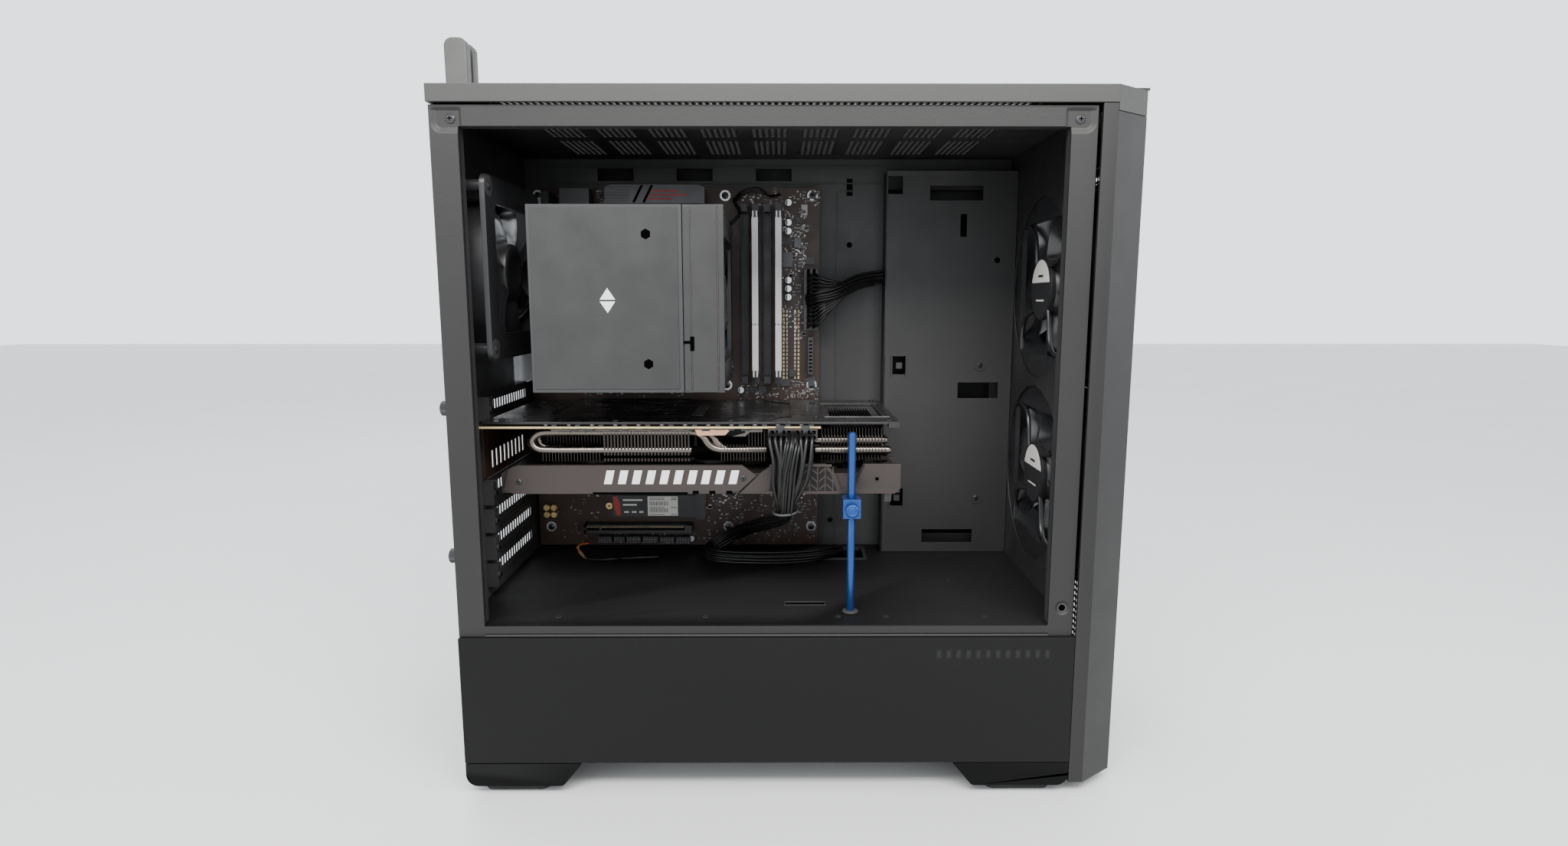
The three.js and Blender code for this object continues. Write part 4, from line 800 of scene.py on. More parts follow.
def fan_frame(node, centre, start, size, depth=25, label=False):
    """A square fan frame about x: flanges, duct, corner pads, curved struts and the motor seat."""
    half = size / 2
    duct = half - 3
    end = start + depth
    y, z = centre
    form = Form()
    flange = round_rect(y - half, y + half, z - half, z + half, 7, 7)
    opening = [polar(centre, duct, math.atan2(v - z, u - y)) for u, v in flange]
    for along in (start, end - 3.4):
        form.collar("x", flange, opening, along, along + 3.4)
    form.lathe("x", centre, [(start + 3.2, duct), (start + 3.2, half - 1.2), (end - 3.2, half - 1.2),
                             (end - 3.2, duct)], 72, closed=True)
    reach = half - 7.5
    for u in (y - reach, y + reach):
        for v in (z - reach, z + reach):
            form.rod("x", u, v, 4.2, start + 3, end - 3, 16)
            pad = round_rect(u - 6.6, u + 6.6, v - 6.6, v + 6.6, 5.5, 4)
            form.prism("x", pad, start - 0.25, start + 0.2, 1)
            form.prism("x", pad, end - 0.2, end + 0.2, 1)
            screw_head(form, "x", u, v, end + 0.15, 2.6, 1, 2, 3)
    seat = size * 0.17
    form.lathe("x", centre, [(start, 0), (start, seat - 1), (start + 0.8, seat), (start + 3.6, seat),
                             (start + 3.6, 0)], 48)
    steps = 8
    for strut in range(4):
        path = []
        for k in range(steps + 1):
            t = k / steps
            turn = (strut + 0.5) * math.pi / 2 + math.radians(16) * math.sin(math.pi * t)
            path.append(spot("x", *polar(centre, seat - 2 + t * (duct + 3.5 - seat), turn), start + 1.7))
        form.tube(path, 2.1, 8, flat=0.75)
    if label:
        form.rod("x", y, z, seat - 1.6, start - 0.12, start + 0.1, 48, 3)
        form.prism("x", arc(y, z, seat - 2.4, 12, 168, 16), start - 0.2, start, 4)
        form.prism("x", round_rect(y - 6, y + 6, z + 8.2, z + 10.2, 0.9), start - 0.26, start, 5)
        form.prism("x", round_rect(y - 9.5, y + 9.5, z - 9.5, z - 8.3, 0.5), start - 0.22, start, 4)
    form.make(node + "_finished", [FAN, RUBBER, SCREW, CHIP, LABEL, LABEL_INK], stands_for=(node,), bevel=0.25,
              angle=40)


REAR_FAN = (75, 354.7)
COOLER_FAN = (76.5, 334.4)
FRONT_FANS = {"front_fan_lower": (100, 203), "front_fan_upper": (100, 343)}
fan_frame("rear_fan_frame", REAR_FAN, 1.3, 120)
rotor("rear_fan_rotor", "x", REAR_FAN, 5.3, 24.8, 19.2, 55.5, 7, (52, 30))
fan_frame("cooler_fan_frame", COOLER_FAN, 151.3, 120)
rotor("cooler_fan_rotor", "x", COOLER_FAN, 155.3, 174.8, 19.2, 55.5, 7, (52, 30))
for fan, centre in FRONT_FANS.items():
    fan_frame(fan + "_frame", centre, 409.5, 139, label=True)
    rotor(fan + "_rotor", "x", centre, 413.5, 433, 22.2, 65, 7, (50, 28), sweep=32)
SUPPLY_FAN = (71.3, 97)
rotor("psu_fan_rotor", "z", SUPPLY_FAN, 26.7, 49.7, 20, 60, 7, (48, 30))
for index, x in enumerate((72, 163, 254)):
    rotor(f"gpu_fan_{index + 1}", "z", (x, 100.5), 201.5, 211.5, 14, 41.8, 9, (58, 44), sweep=34,
          lean=-1 if index == 1 else 1, ring=True)


SPOKES = [math.radians(45 + 90 * k) for k in range(4)]


def wire_guard(form, axis, centre, radii, along, spokes, spoke_along, wire, sides, mat=0):
    """Round wires held by four spokes."""
    for radius in radii:
        form.tube([spot(axis, u, v, along) for u, v in arc(*centre, radius, 0, 360, sides)], wire, 6, mat)
    for turn in SPOKES:
        form.tube([spot(axis, *polar(centre, r, turn), spoke_along) for r in spokes], wire, 6, mat)


def rear_fan_guard():
    """A wire guard outside the rear fan, with a screw at the end of each spoke."""
    form = Form()
    wire_guard(form, "x", REAR_FAN, (12, 22, 32, 42, 52), -0.85, (10, 60, 72), -0.55, 0.75, 48)
    for turn in SPOKES:
        screw_head(form, "x", *polar(REAR_FAN, 74.25, turn), 0, 3.2, -1, 0, 1)
    form.make("rear_fan_guard", [SCREW, HOLE_SHADE], angle=50)


rear_fan_guard()


# ---------------------------------------------------------------- cooler

def cooler():
    x0, x1, z0, z1 = 53, 151, 274.2, 394.6
    fins = Form()
    for y in series(45, 16.3, 2.35):
        fins.box(x0, x1, y, y + 0.45, z0 + 0.6, z1 - 0.6)
        for z in (z0 + 14, z1 - 26):
            fins.box(x0 - 0.1, x0 + 0.5, y, y + 2.3, z, z + 12)
            fins.box(x1 - 0.5, x1 + 0.1, y, y + 2.3, z, z + 12)
    for z in series(4, 307.4, 18):
        for x in (81, 123):
            fins.rod("y", z, x, 3, 16.2, 153, 20, 1)
            fins.lathe("y", (z, x), [(15.9, 0), (16.2, 2.2), (17, 3)], 20, 1)
    fins.box(68, 136, 158, 171.6, 304.4, 364.4, 1)
    fins.box(72, 132, 152, 158.4, 308, 361, 2)
    fins.box(64, 140, 160, 163, 300, 306, 2)
    fins.box(64, 140, 160, 163, 363, 369, 2)
    fins.make("cooler_fins", [FIN, NICKEL, FIN_DARK], stands_for=("cooler_heatsink",), bevel=0.12)

    cover = Form()
    cover.box(52.3, 151.4, 12.6, 15.6, z0, z1 + 0.1, 1)
    cover.box(54.6, 148.7, 12, 14, z0 + 2.4, z1 - 1.6)
    # The six-sided recesses, and the two small rounded patches further down, are flat patches of painted shade.
    for z, x in ((376, 128.5), (293, 128.6)):
        cover.prism("y", hexagon(z, x, 3.5), 11.95, 12.3, 2)
    cover.box(151.9, 178.2, 12.9, 15.6, z0, z1, 1)
    for x0, x1, near, a, b, mat in ((157.4, 173.8, 12, 0.4, 0.6, 0), (152.4, 156.6, 12.5, 1.2, 1.4, 0),
                                    (174.6, 178.2, 12.6, 1, 1.2, 0), (156.75, 157.25, 12.25, 3, 3, 3),
                                    (173.95, 174.45, 12.25, 3, 3, 3), (156.6, 157.5, 12.05, 30, 58.4, 0),
                                    (156.6, 157.5, 12.05, 84, 10, 0)):
        cover.box(x0, x1, near, 14, z0 + a, z1 - b, mat)
    cover.prism("y", round_rect(301.4, 311, 155.9, 158.7, 0.8), 11.9, 12.3, 2)
    cover.prism("y", round_rect(306.2, 308, 151.6, 156.2, 0.6), 11.9, 12.6, 2)
    cover.make("cooler_cover_plate", [COOLER, COOLER_EDGE, HOLE_SHADE, NICKEL], stands_for=("cooler_top_cover",),
               bevel=0.35)
    mark = Form()
    for base, tip in ((333.4, 326), (334.6, 342)):
        mark.prism("y", [(base, 98), (tip, 103), (base, 108)], 11.9, 12.05)
    mark.make("cooler_mark", MARK)


cooler()


# ---------------------------------------------------------------- graphics card

CARD_NEAR = 35


def card_fins():
    """Thin plates in four groups, with bent lips on their near edges, and nickel pipes through them."""
    form = Form()
    near, far, low, high = 43, 158, 222.4, 245.4
    plates = ((19, 48, 2.2, 0.4, near, far, low, 230.6), (19, 48, 2.2, 0.4, near + 14, far, 230.6, high - 4),
              (26, 91, 2.35, 0.45, near, far, 226.4, high - 1.6),
              (26, 91, 2.35, 1.15, near - 0.3, near, 227, high - 2.2),
              (26, 91, 2.35, 1.3, near - 0.4, near + 3, low, 224.6),
              (9, 173, 2.15, 0.4, near, far, low, 234.5), (6, 192.35, 2.15, 0.4, near, far, low, high - 1),
              (20, 243.5, 2.2, 0.4, near + 4, far, low, high),
              (20, 243.5, 2.2, 1.0, near + 3.7, near + 4, 234.5, 240.5))
    for count, first, pitch, thick, y0, y1, z0, z1 in plates:
        for x in series(count, first, pitch):
            form.box(x, x + thick, y0, y1, z0, z1)
    # A dark block fills the deep gaps between the plates: painted shade.
    for x0, x1 in ((48, 152), (174, 286)):
        form.box(x0, x1, near + 40, far - 10, 226, 242, 2)

    def pipe(*points):
        form.tube(smooth_path(points, 5), 2.9, 14, 1)
    pipe((150, 45.5, 243), (90, 45.5, 243), (54, 45.5, 243), (45, 45.5, 241.8), (40.6, 45.5, 238.2),
         (40.2, 45.5, 234.6), (43.6, 45.5, 231.2), (52, 45.5, 230), (90, 45.5, 230), (152, 45.5, 230))
    pipe((60, 54, 242.5), (48, 54, 242), (43, 54, 238.5), (43, 54, 234), (48, 54, 230.5), (60, 54, 230))
    for shift, y in ((0, 46), (6.6, 47.5)):
        pipe((148 + shift, y, 243), (156 + shift, y, 242.4), (161 + shift, y - 1, 239),
             (164 + shift, y - 1.4, 234.5), (169 + shift, y - 1, 231), (178 + shift, y, 230),
             (204, y + 1.5, 230))
    for y, z, end in ((46, 230, 292.6), (50, 236.5, 290.6), (66, 230, 291), (92, 230, 290)):
        form.rod("x", y, z, 2.9, 239, end - 2, 16, 1)
        form.lathe("x", (y, z), [(end - 2.2, 2.9), (end - 0.6, 2.2), (end, 0.9), (end, 0)], 16, 1)
    for x in series(14, 176, 2.15):
        form.ring("x", 47.5, 230, 2.9, 3.5, x, x + 0.7, 14, 0)
    for x in series(21, 243.5, 2.2):
        form.ring("x", 46, 230, 2.9, 3.6, x, x + 0.8, 14, 0)
        form.ring("x", 50, 236.5, 2.9, 3.6, x, x + 0.8, 14, 0)
    form.box(55, 152, 41.5, 60, 244.3, 245.2, 1)
    for x in series(9, 60, 10.6):
        form.box(x, x + 8.2, 41.2, 43, 242.9, 244, 1)
    form.prism("y", [(241, 157), (245.4, 155), (245.4, 180), (241.4, 176)], 40.6, 41.6, 3)
    form.prism("y", [(240.5, 181), (243, 190), (245.4, 190), (245.4, 202), (243.6, 202), (243.4, 193),
                     (240.5, 190)], 41, 42, 1)
    form.make("card_fins_and_pipes", [FIN, NICKEL, FIN_DARK, COPPER], stands_for=("gpu_heatsink",), angle=40)


def card_shroud_details():
    """What stands on the shroud's near side: pale bars, screws, the ribbed vent and the end cap's ring."""
    form = Form()
    face = CARD_NEAR
    for x in series(10, 92, 9.6):
        form.prism("y", [(208, x), (217.6, x + 2.2), (217.6, x + 7.6), (208, x + 5.4)], face - 0.12, face)
    form.make("card_side_bars", MARK)
    trim = Form()
    for x, z in ((188.6, 212), (33.2, 209.6)):
        screw_head(trim, "y", z, x, face, 1.9, -1, 1, 2)
    # The end cap's ring holds a dark disc of painted shade.
    trim.ring("y", 211.5, 281.5, 1.3, 2.1, face - 0.35, face, 24, 0)
    trim.rod("y", 211.5, 281.5, 1.3, face - 0.1, face + 0.05, 16, 2)
    # The dark plate behind the vent's ribs is painted shade in its cut-outs.
    trim.prism("y", [(202.6, 206.5), (216.5, 208.5), (220.4, 213), (220.4, 244), (216, 248.6), (202.6, 254)],
               face - 0.2, face + 0.1, 3)
    low, top, rise = 203.4, 219.6, 3.4
    for k, x in enumerate(series(8, 208.6, 5.4)):
        for row in range(3):
            z = low + row * 5.6
            a, b = (z, z + rise) if k % 2 == 0 else (z + rise, z)
            trim.prism("y", [(min(a, top), x), (min(b, top), x + 4.2), (min(b + 1.5, top + 0.6), x + 4.2),
                             (min(a + 1.5, top + 0.6), x)], face - 0.75, face)
        trim.box(x + 4.1, x + 4.9, face - 0.75, face, 203, 219.8)
    trim.box(207, 250, face - 0.9, face, 220.3, 221.9)
    trim.box(203.6, 256, face - 0.8, face, 201, 203)
    # The dark strips along the shroud's lower edge are painted shade in its gaps.
    trim.box(84, 150, face - 0.1, face + 2, 200.6, 202.2, 2)
    for x in (153.5, 165, 176.8):
        trim.box(x, x + 4.2, face - 0.15, face + 2, 200.9, 203.2, 2)
    # A block of painted shade beside the vent.
    trim.box(200, 208, face + 0.5, face + 3, 200.9, 203.5, 3)
    trim.prism("y", [(195, 287), (207, 287), (207, 291), (204, 292.6), (195, 291.6)], face + 1.5,
               face + 4.5, 4)
    trim.box(289, 296.5, face - 0.2, face + 6, 247.5, 251.6, 4)
    # A slanted strip of painted shade.
    trim.prism("y", [(201.2, 262), (221.6, 271.4), (221.6, 273), (201.2, 264.2)], face - 0.5, face, 3)
    trim.make("card_shroud_trim", [BRONZE, SCREW, HOLE_SHADE, BRONZE_RECESS_SHADE, BACKPLATE], bevel=0.12)


def card_board_details():
    """The pale edge of the card's board, its parts under the near edge, the power sockets and the bracket."""
    form = Form()
    form.box(5.2, 242.3, CARD_NEAR - 0.08, CARD_NEAR + 0.3, 246.9, 248.3, 0)
    under = 246.8
    for k, x in enumerate(series(16, 60, 9.1)):
        size = 2.2 + (k * 7 % 5) * 0.5
        form.box(x, x + size * 1.7, CARD_NEAR + 2, CARD_NEAR + 2 + size, under - 1.2 - (k % 3) * 0.4, under, 1)
    for x in series(12, 52, 16.1):
        form.rod("z", x, CARD_NEAR + 5, 2.2, 248.4, 249.5, 16, 2)
        form.box(x + 5, x + 8.4, CARD_NEAR + 1, CARD_NEAR + 3.4, 248.4, 249.5, 1)
    for x0 in (206.4, 223.6):
        form.box(x0, x0 + 16, 31.8, 45, 239, 246.6, 3)
        form.box(x0 + 5, x0 + 11, 31.2, 33, 246.6, 249.4, 3)
        form.box(x0 + 6.4, x0 + 9.6, 30.9, 32, 244, 248.6, 3)
        # The socket openings are flat patches of painted shade.
        for x in series(4, x0 + 1.2, 3.8):
            for z in (239.8, 243.4):
                form.box(x, x + 2.6, 31.6, 32, z, z + 2.6, 4)
    for y in series(9, 72, 9):
        form.box(1.25, 2.4, y + 0.2, y + 3.8, 225, 225.8, 5)
    for y, z, w, h in ((75, 232, 16, 6), (98, 232, 16, 6), (121, 232, 16, 6), (142, 232, 15, 5)):
        form.box(0.9, 1.4, y, y + w, z, z + h, 5)
        form.box(0.8, 1.2, y + 1.5, y + w - 1.5, z + 1.5, z + h - 1.5, 3)
    form.make("card_board_details", [BOARD_EDGE, CHIP, TIN, PORT_BLACK, HOLE_SHADE, PORT], bevel=0.1)

    top = 251.4
    plate = Form()
    for x, y in ((20, 45), (20, 150), (100, 42), (100, 155), (180, 42), (180, 155), (240, 60), (240, 140),
                 (290, 42), (290, 155), (75, 80), (75, 130), (130, 80), (130, 130)):
        screw_head(plate, "z", x, y, top, 2.3, 1, 1, 2)
    for points in ([(60, 45), (90, 60), (140, 60), (170, 45)], [(60, 156), (90, 142), (140, 142), (170, 156)],
                   [(200, 40), (222, 64), (222, 136), (200, 160)], [(30, 60), (46, 76), (46, 124), (30, 140)],
                   [(176, 52), (196, 76), (236, 76)],
                   [(246, 57), (246, 137), (292, 137), (292, 57), (246, 57)]):
        plate.tube([(x, y, top) for x, y in points], 0.9, 6, flat=0.6)
    for x in series(6, 96, 7):
        plate.prism("z", [(x, 96), (x + 3.4, 96), (x + 6.4, 106), (x + 3, 106)], top - 0.1, top + 0.08, 3)
    plate.box(150, 158, 70, 128, top - 0.1, top + 0.12, 3)
    plate.make("card_backplate_details", [BACKPLATE, SCREW, HOLE_SHADE, HEATSINK_LIGHT], bevel=0.1)


card_fins()
card_shroud_details()
card_board_details()


# ---------------------------------------------------------------- brace

def brace():
    pole = Form()
    x, y = 263, 24
    low, high = span("brace_pole")
    foot = low.z
    pole.lathe("z", (x, y), [(foot, 0), (foot, 5.2), (foot + 0.4, 5.6), (foot + 0.9, 5.6), (foot + 1.4, 5),
                             (foot + 1.6, 3.2), (foot + 1.8, 0)], 40, 1)
    pole.lathe("z", (x, y), [(foot + 1.5, 0), (foot + 1.5, 2.5), (foot + 1.9, 2.7), (185, 2.7), (185.4, 2.5),
                             (186, 2.5), (186.4, 2.7), (high.z - 0.8, 2.7), (high.z, 2.0), (high.z, 0)], 40)
    pole.make("brace_pole_finished", [BLUE, RUBBER], stands_for=("brace_pole",), angle=30)
    low, high = span("brace_knob")
    z, face, end = 193.7, low.y, high.y
    knob = Form()
    knob.prism("y", knurl((z, x), 4.35, 4.66, 30), face + 0.7, face + 4.3)
    knob.lathe("y", (z, x), [(face, 0), (face, 2.2), (face + 0.25, 2.5), (face, 2.8), (face, 3.7),
                             (face + 0.7, 4.5), (face + 5, 4.5), (face + 5, 1.5), (end, 1.5), (end, 0)], 32)
    knob.make("brace_knob_finished", BLUE, body="brace_knob", stands_for=("brace_knob",), bevel=0.1, angle=30)


brace()


# ---------------------------------------------------------------- antennas

def antennas():
    jack, hinge = 335, -37.5
    for index, y in ((1, 154), (2, 170)):
        base = Form()
        base.prism("x", hexagon(y, jack, 4.9), -9, -1.4, 1)
        base.lathe("x", (y, jack), [(-24, 0), (-24, 4.2), (-23.4, 4.8), (-10, 4.8), (-9.4, 4.4), (-8.8, 0)], 32)
        for x in series(5, -22, 2.4):
            base.ring("x", y, jack, 4.6, 5.0, x, x + 1.2, 32)
        base.lathe("x", (y, jack), [(-31, 0), (-31, 4), (-24, 4), (-23.6, 0)], 24)
        for a, b in ((y - 4.7, y - 3.1), (y + 3.1, y + 4.7)):
            base.rod("y", jack, hinge, 5.4, a, b, 32, edge=0.3)
            base.box(hinge, -28.5, a, b, 331.8, 338.2)
            base.rod("y", jack, hinge, 2, a - 0.02, b + 0.02, 16, 1)
        base.box(-30.6, -28.4, y - 4.7, y + 4.7, 331.8, 338.2)
        node = f"antenna_base_{index}"
        base.make(node + "_finished", [ANTENNA, BRASS], body=node, stands_for=(node,), bevel=0.3)
        paddle = Form()
        start, top, half, corner = 343, 536, 9, 6.5
        outline = [(start, -5), (start, 5), (start + 14, half - 1)]
        outline += [(z, x) for x, z in arc(half - corner, top - corner, corner, 0, 90, 8)]
        outline += [(z, x) for x, z in arc(corner - half, top - corner, corner, 90, 180, 8)]
        outline.append((start + 14, 1 - half))
        paddle.prism("y", [(z, hinge + x) for z, x in outline], y - 4.5, y + 4.5)
        paddle.rod("y", jack, hinge, 5.2, y - 2.8, y + 2.8, 28)
        paddle.box(hinge - 4, hinge + 4, y - 2.8, y + 2.8, jack, 344)
        node = f"antenna_blade_{index}"
        paddle.make(node + "_finished", ANTENNA, body=node, stands_for=(node,), bevel=1.4, angle=30, segments=4)


antennas()


# ---------------------------------------------------------------- motherboard

BOARD_FACE = 178.1


def standing(form, x0, x1, z0, z1, height, mat=0, seat=0):
    """A part soldered on the board's near face, or raised from it by seat."""
    form.box(x0, x1, BOARD_FACE - height, BOARD_FACE - seat, z0, z1, mat)


def can(form, x, z, radius, height, shell=8, top=6):
    """A round capacitor: plastic seat, metal can, marked top."""
    standing(form, x - radius, x + radius, z - radius, z + radius, 0.8)
    profile = ((0.6, 0), (0.6, 1), (1.8, 1), (2.1, 0.92), (2.4, 1), (height - 0.3, 1), (height, 0.88),
               (height, 0))
    form.lathe("y", (z, x), [(BOARD_FACE - rise, radius * share) for rise, share in profile], 24, shell)
    end = BOARD_FACE - height
    form.prism("y", arc(z, x, radius * 0.8, 200, 340, 8), end - 0.05, end + 0.1, top)


def scatter(form, x0, x1, z0, z1, count, seed):
    """Small chips, resistors and pads inside a rectangle of the board, the same each time."""
    state = seed

    def draw(outcomes):
        nonlocal state
        state = (state * 1103515245 + 12345) % 2147483648
        return (state >> 8) % outcomes

    for _ in range(count):
        x = x0 + draw(1000) / 1000 * (x1 - x0)
        z = z0 + draw(1000) / 1000 * (z1 - z0)
        kind = draw(10)
        if kind < 6:
            w, h = (0.9, 1.7) if kind % 2 else (1.7, 0.9)
            standing(form, x, x + w, z, z + h, 0.55, (1, 1, 2, 3, 2, 1)[kind])
            for far in (0, 1):
                if kind % 2:
                    end = z + far * (h - 0.45)
                    standing(form, x, x + w, end, end + 0.45, 0.62, 2)
                else:
                    end = x + far * (w - 0.45)
                    standing(form, end, end + 0.45, z, z + h, 0.62, 2)
        elif kind < 8:
            standing(form, x, x + 2.6, z, z + 2.2, 1.0, 1)
            for leg in series(3, x + 0.2, 0.85):
                standing(form, leg, leg + 0.4, z - 0.5, z + 2.7, 0.4, 2)
        elif kind == 8:
            form.ring("y", z, x, 0.35, 0.75, BOARD_FACE - 0.12, BOARD_FACE, 12, 2)
        else:
            standing(form, x, x + 2.8, z, z + 0.35, 0.06, 3)


def memory_slots(parts):
    low, high = 265.5, 411.5
    for index, x in enumerate(series(4, 185, 9.3)):
        for a, b, height in ((-3.2, -2.5, 7), (2.5, 3.2, 7), (-2.5, 2.5, 3)):
            standing(parts, x + a, x + b, low, high, height)
        latch = 19 if index in (1, 3) else 17
        for z0, z1, lift in ((low, low + 6, 1), (high - 6, high, 0.5)):
            standing(parts, x - 2.6, x + 2.6, z0, z1, latch, 0, 6)
            standing(parts, x - 1.2, x + 1.2, z0 + lift, z1 - 1, latch + 1, 0, latch - 3)
        for z in series(40, low + 10, 3.2):
            standing(parts, x + 3.2, x + 3.35, z, z + 0.7, 0.9, 2)


def card_slots(parts):
    for z, contact in ((139, 4), (247.6, 8)):
        for z0, z1 in ((z - 3.7, z - 1.15), (z + 1.15, z + 3.7)):
            standing(parts, 45, 134, z0, z1, 11.3)
        standing(parts, 45, 47, z - 3.7, z + 3.7, 11.3)
        standing(parts, 132, 138, z - 3.5, z + 3.5, 13)
        standing(parts, 58, 60, z - 1.2, z + 1.2, 10.8)
        for x in series(52, 48, 1.6):
            standing(parts, x, x + 0.5, z + 1.3, z + 2.2, 11.35, contact, 11)


def board_sockets(parts):
    """The wide power socket, the data socket under it and the headers along the lower edge."""
    x0, x1, z0, z1 = 234.6, 244.9, 309, 360.4
    standing(parts, x0, x1, z0, z1, 9)
    standing(parts, x0 - 0.7, x1 + 0.7, z0 + 1, z1 - 1, 12.8, 0, 8)
    for z in series(12, z0 + 3.2, 4.1):
        for x in (236.5, 241.3):
            standing(parts, x, x + 2.3, z, z + 2.6, 13, 7, 12.7)
    standing(parts, x0 - 1.4, x0 - 0.4, 331, 338, 11, 0, 2)
    standing(parts, 237.5, 242, 272.5, 303.9, 8.8)
    for z in series(9, 275, 3.1):
        standing(parts, 238.5, 241.2, z, z + 1.2, 9, 7, 8.6)
    for x, w, z in ((56, 12, 126), (70, 9, 126), (81, 12, 126), (95, 13, 126), (110, 12, 125.5),
                    (124, 12, 125.5)):
        standing(parts, x, x + w, z, z + 5.4, 8.4)
        for pin in series(int(w / 2.4), x + 1, 2.4):
            for row in (z + 1, z + 3.6):
                standing(parts, pin, pin + 0.6, row, row + 0.6, 11.4, 8, 4)


def board():
    """The board on its nine standoffs, in a standard hole pattern, and all that is soldered to it."""
    rear, bottom = 3.7, 121.8
    plate = Form()
    plate.box(rear, 247.5, BOARD_FACE, BOARD_FACE + 1.6, bottom, 426.6)
    holes = [(bottom + row, rear + column) for column in (10.16, 165.1, 237.49)
             for row in (16.51, 140.97, 298.45)]
    for z, x in holes:
        plate.rod("y", z, x, 2.8, 178.6, 185.8, 6, 1)
    plate.make("board", [BOARD, BRASS], stands_for=("motherboard",), bevel=0.15)

    parts = Form()
    mats = [PORT_BLACK, CHIP, TIN, PRINT, GOLD, NICKEL, SCREW, HOLE_SHADE, PORT, LABEL_RED, PORT_BLUE, BOARD_EDGE]
    for z, x in holes:
        parts.ring("y", z, x, 2, 4.4, BOARD_FACE - 0.08, BOARD_FACE, 24, 8)
        screw_head(parts, "y", z, x, BOARD_FACE - 0.05, 2.9, -1, 6, 7)
        # Eight dark dots of painted shade stand for the holes round each standoff.
        for k in range(8):
            parts.rod("y", *polar((z, x), 3.6, math.pi / 4 * k), 0.35, BOARD_FACE - 0.16, BOARD_FACE, 8, 7)
    memory_slots(parts)
    card_slots(parts)
    board_sockets(parts)
    for z in (414, 398, 391, 351, 344, 337):
        can(parts, 221.2, z, 2.9, 6.4)
    can(parts, 181, 259, 2.9, 6.4)
    can(parts, 137, 128.8, 2.7, 6.4, top=3)
    for x, z in ((12, 150.5), (18.2, 150.5), (12, 156.7), (18.2, 156.7)):
        can(parts, x, z, 2.8, 6.8, 4, 11)
    for x, z, w, h in ((238, 262, 5.5, 8), (236, 364, 7, 6), (228, 398, 6, 5), (216.5, 362, 8, 12),
                       (216.5, 380, 8, 6), (226, 378, 6, 8), (215, 262, 7, 6), (188, 256, 6, 6),
                       (196, 256, 6.5, 6), (222, 270, 6, 6)):
        standing(parts, x, x + w, z, z + h, 1.4 + (x * z) % 1.3, 1 if h < 7 else 6)
    for z in series(18, 268, 3.3):
        for x, w, mat in ((226.2, 1.4, 2), (229.2, 1.4, 11), (216.6, 1.4, 11), (219.6, 1, 2)):
            standing(parts, x, x + w, z, z + 2.2, 0.6, mat)
    for patch in ((181, 246, 412, 424, 60, 3), (214, 234, 300, 410, 150, 5), (214, 246, 250, 268, 60, 7),
                  (178, 212, 250, 262, 40, 9), (150, 246, 172, 214, 90, 11), (180, 246, 124, 170, 120, 13),
                  (24, 60, 124, 210, 60, 17), (44, 140, 170, 180, 45, 19), (60, 176, 124, 134, 60, 23),
                  (150, 180, 140, 170, 60, 29), (28, 72, 398, 424, 50, 31), (228, 236, 364, 410, 40, 37),
                  (44, 140, 252, 270, 60, 41)):
        scatter(parts, *patch)
    standing(parts, 60, 132, 181, 196, 3, 1)
    standing(parts, 150, 176, 176, 200, 4, 6)
    for x in series(5, 152, 4.6):
        standing(parts, x, x + 3, 178, 198, 5, 6, 3.8)
    standing(parts, 79.6, 124.4, 312, 356, 6, 8)
    standing(parts, 232, 237, 404.5, 413, 0.08, 3)
    for x, z, across, up in ((188, 240, 30, 0.35), (224, 150, 0.35, 26), (30, 180, 0.35, 20),
                             (150, 205, 24, 0.35)):
        standing(parts, x, x + across, z, z + up, 0.05, 3)
    for z in series(4, 232, 7.2):
        parts.ring("y", z, 225, 1.5, 1.9, BOARD_FACE - 0.06, BOARD_FACE, 20, 3)
        parts.ring("y", z, 230.5, 1.2, 1.5, BOARD_FACE - 0.06, BOARD_FACE, 20, 3)
    parts.make("board_parts", mats, bevel=0.1, angle=40)


def regulator_heatsink():
    """The finned metal block above the cooler, with slanting grooves and a plain accent."""
    form = Form()
    x0, x1, near = 74, 154, 152.4
    form.prism("y", [(411, x0), (411, x1), (423.4, x1), (425.9, x1 - 5), (425.9, x0 + 5), (423.4, x0)], near,
               177.6)
    # The slanting grooves are dark strips of painted shade.
    for x in (96, 104):
        form.prism("y", [(411.6, x), (411.6, x + 2.4), (425.2, x + 9.4), (425.2, x + 7)], near - 0.05,
                   near + 0.4, 1)
    for z, a, b in ((414, 107, 128), (417, 109, 140), (420, 111, 133)):
        form.prism("y", [(z, a), (z, b), (z + 1.3, b + 1), (z + 1.3, a + 1)], near - 0.06, near + 0.3, 2)
    for z in series(6, 412.6, 2.2):
        form.box(x0 + 1, 94, near - 0.3, near + 0.2, z, z + 0.7)
    form.make("regulator_heatsink", [HEATSINK, HOLE_SHADE, LABEL_RED], stands_for=("vrm_heatsink",), bevel=0.4)
    side = Form()
    for z in series(11, 312, 8.2):
        side.box(34, 50, 156, 177.4, z, z + 6.6)
    side.box(33, 51, 166, 177.5, 308, 402)
    side.box(36, 60, 160, 177.4, 408, 424)
    side.make("regulator_side_heatsink", HEATSINK, bevel=0.3)


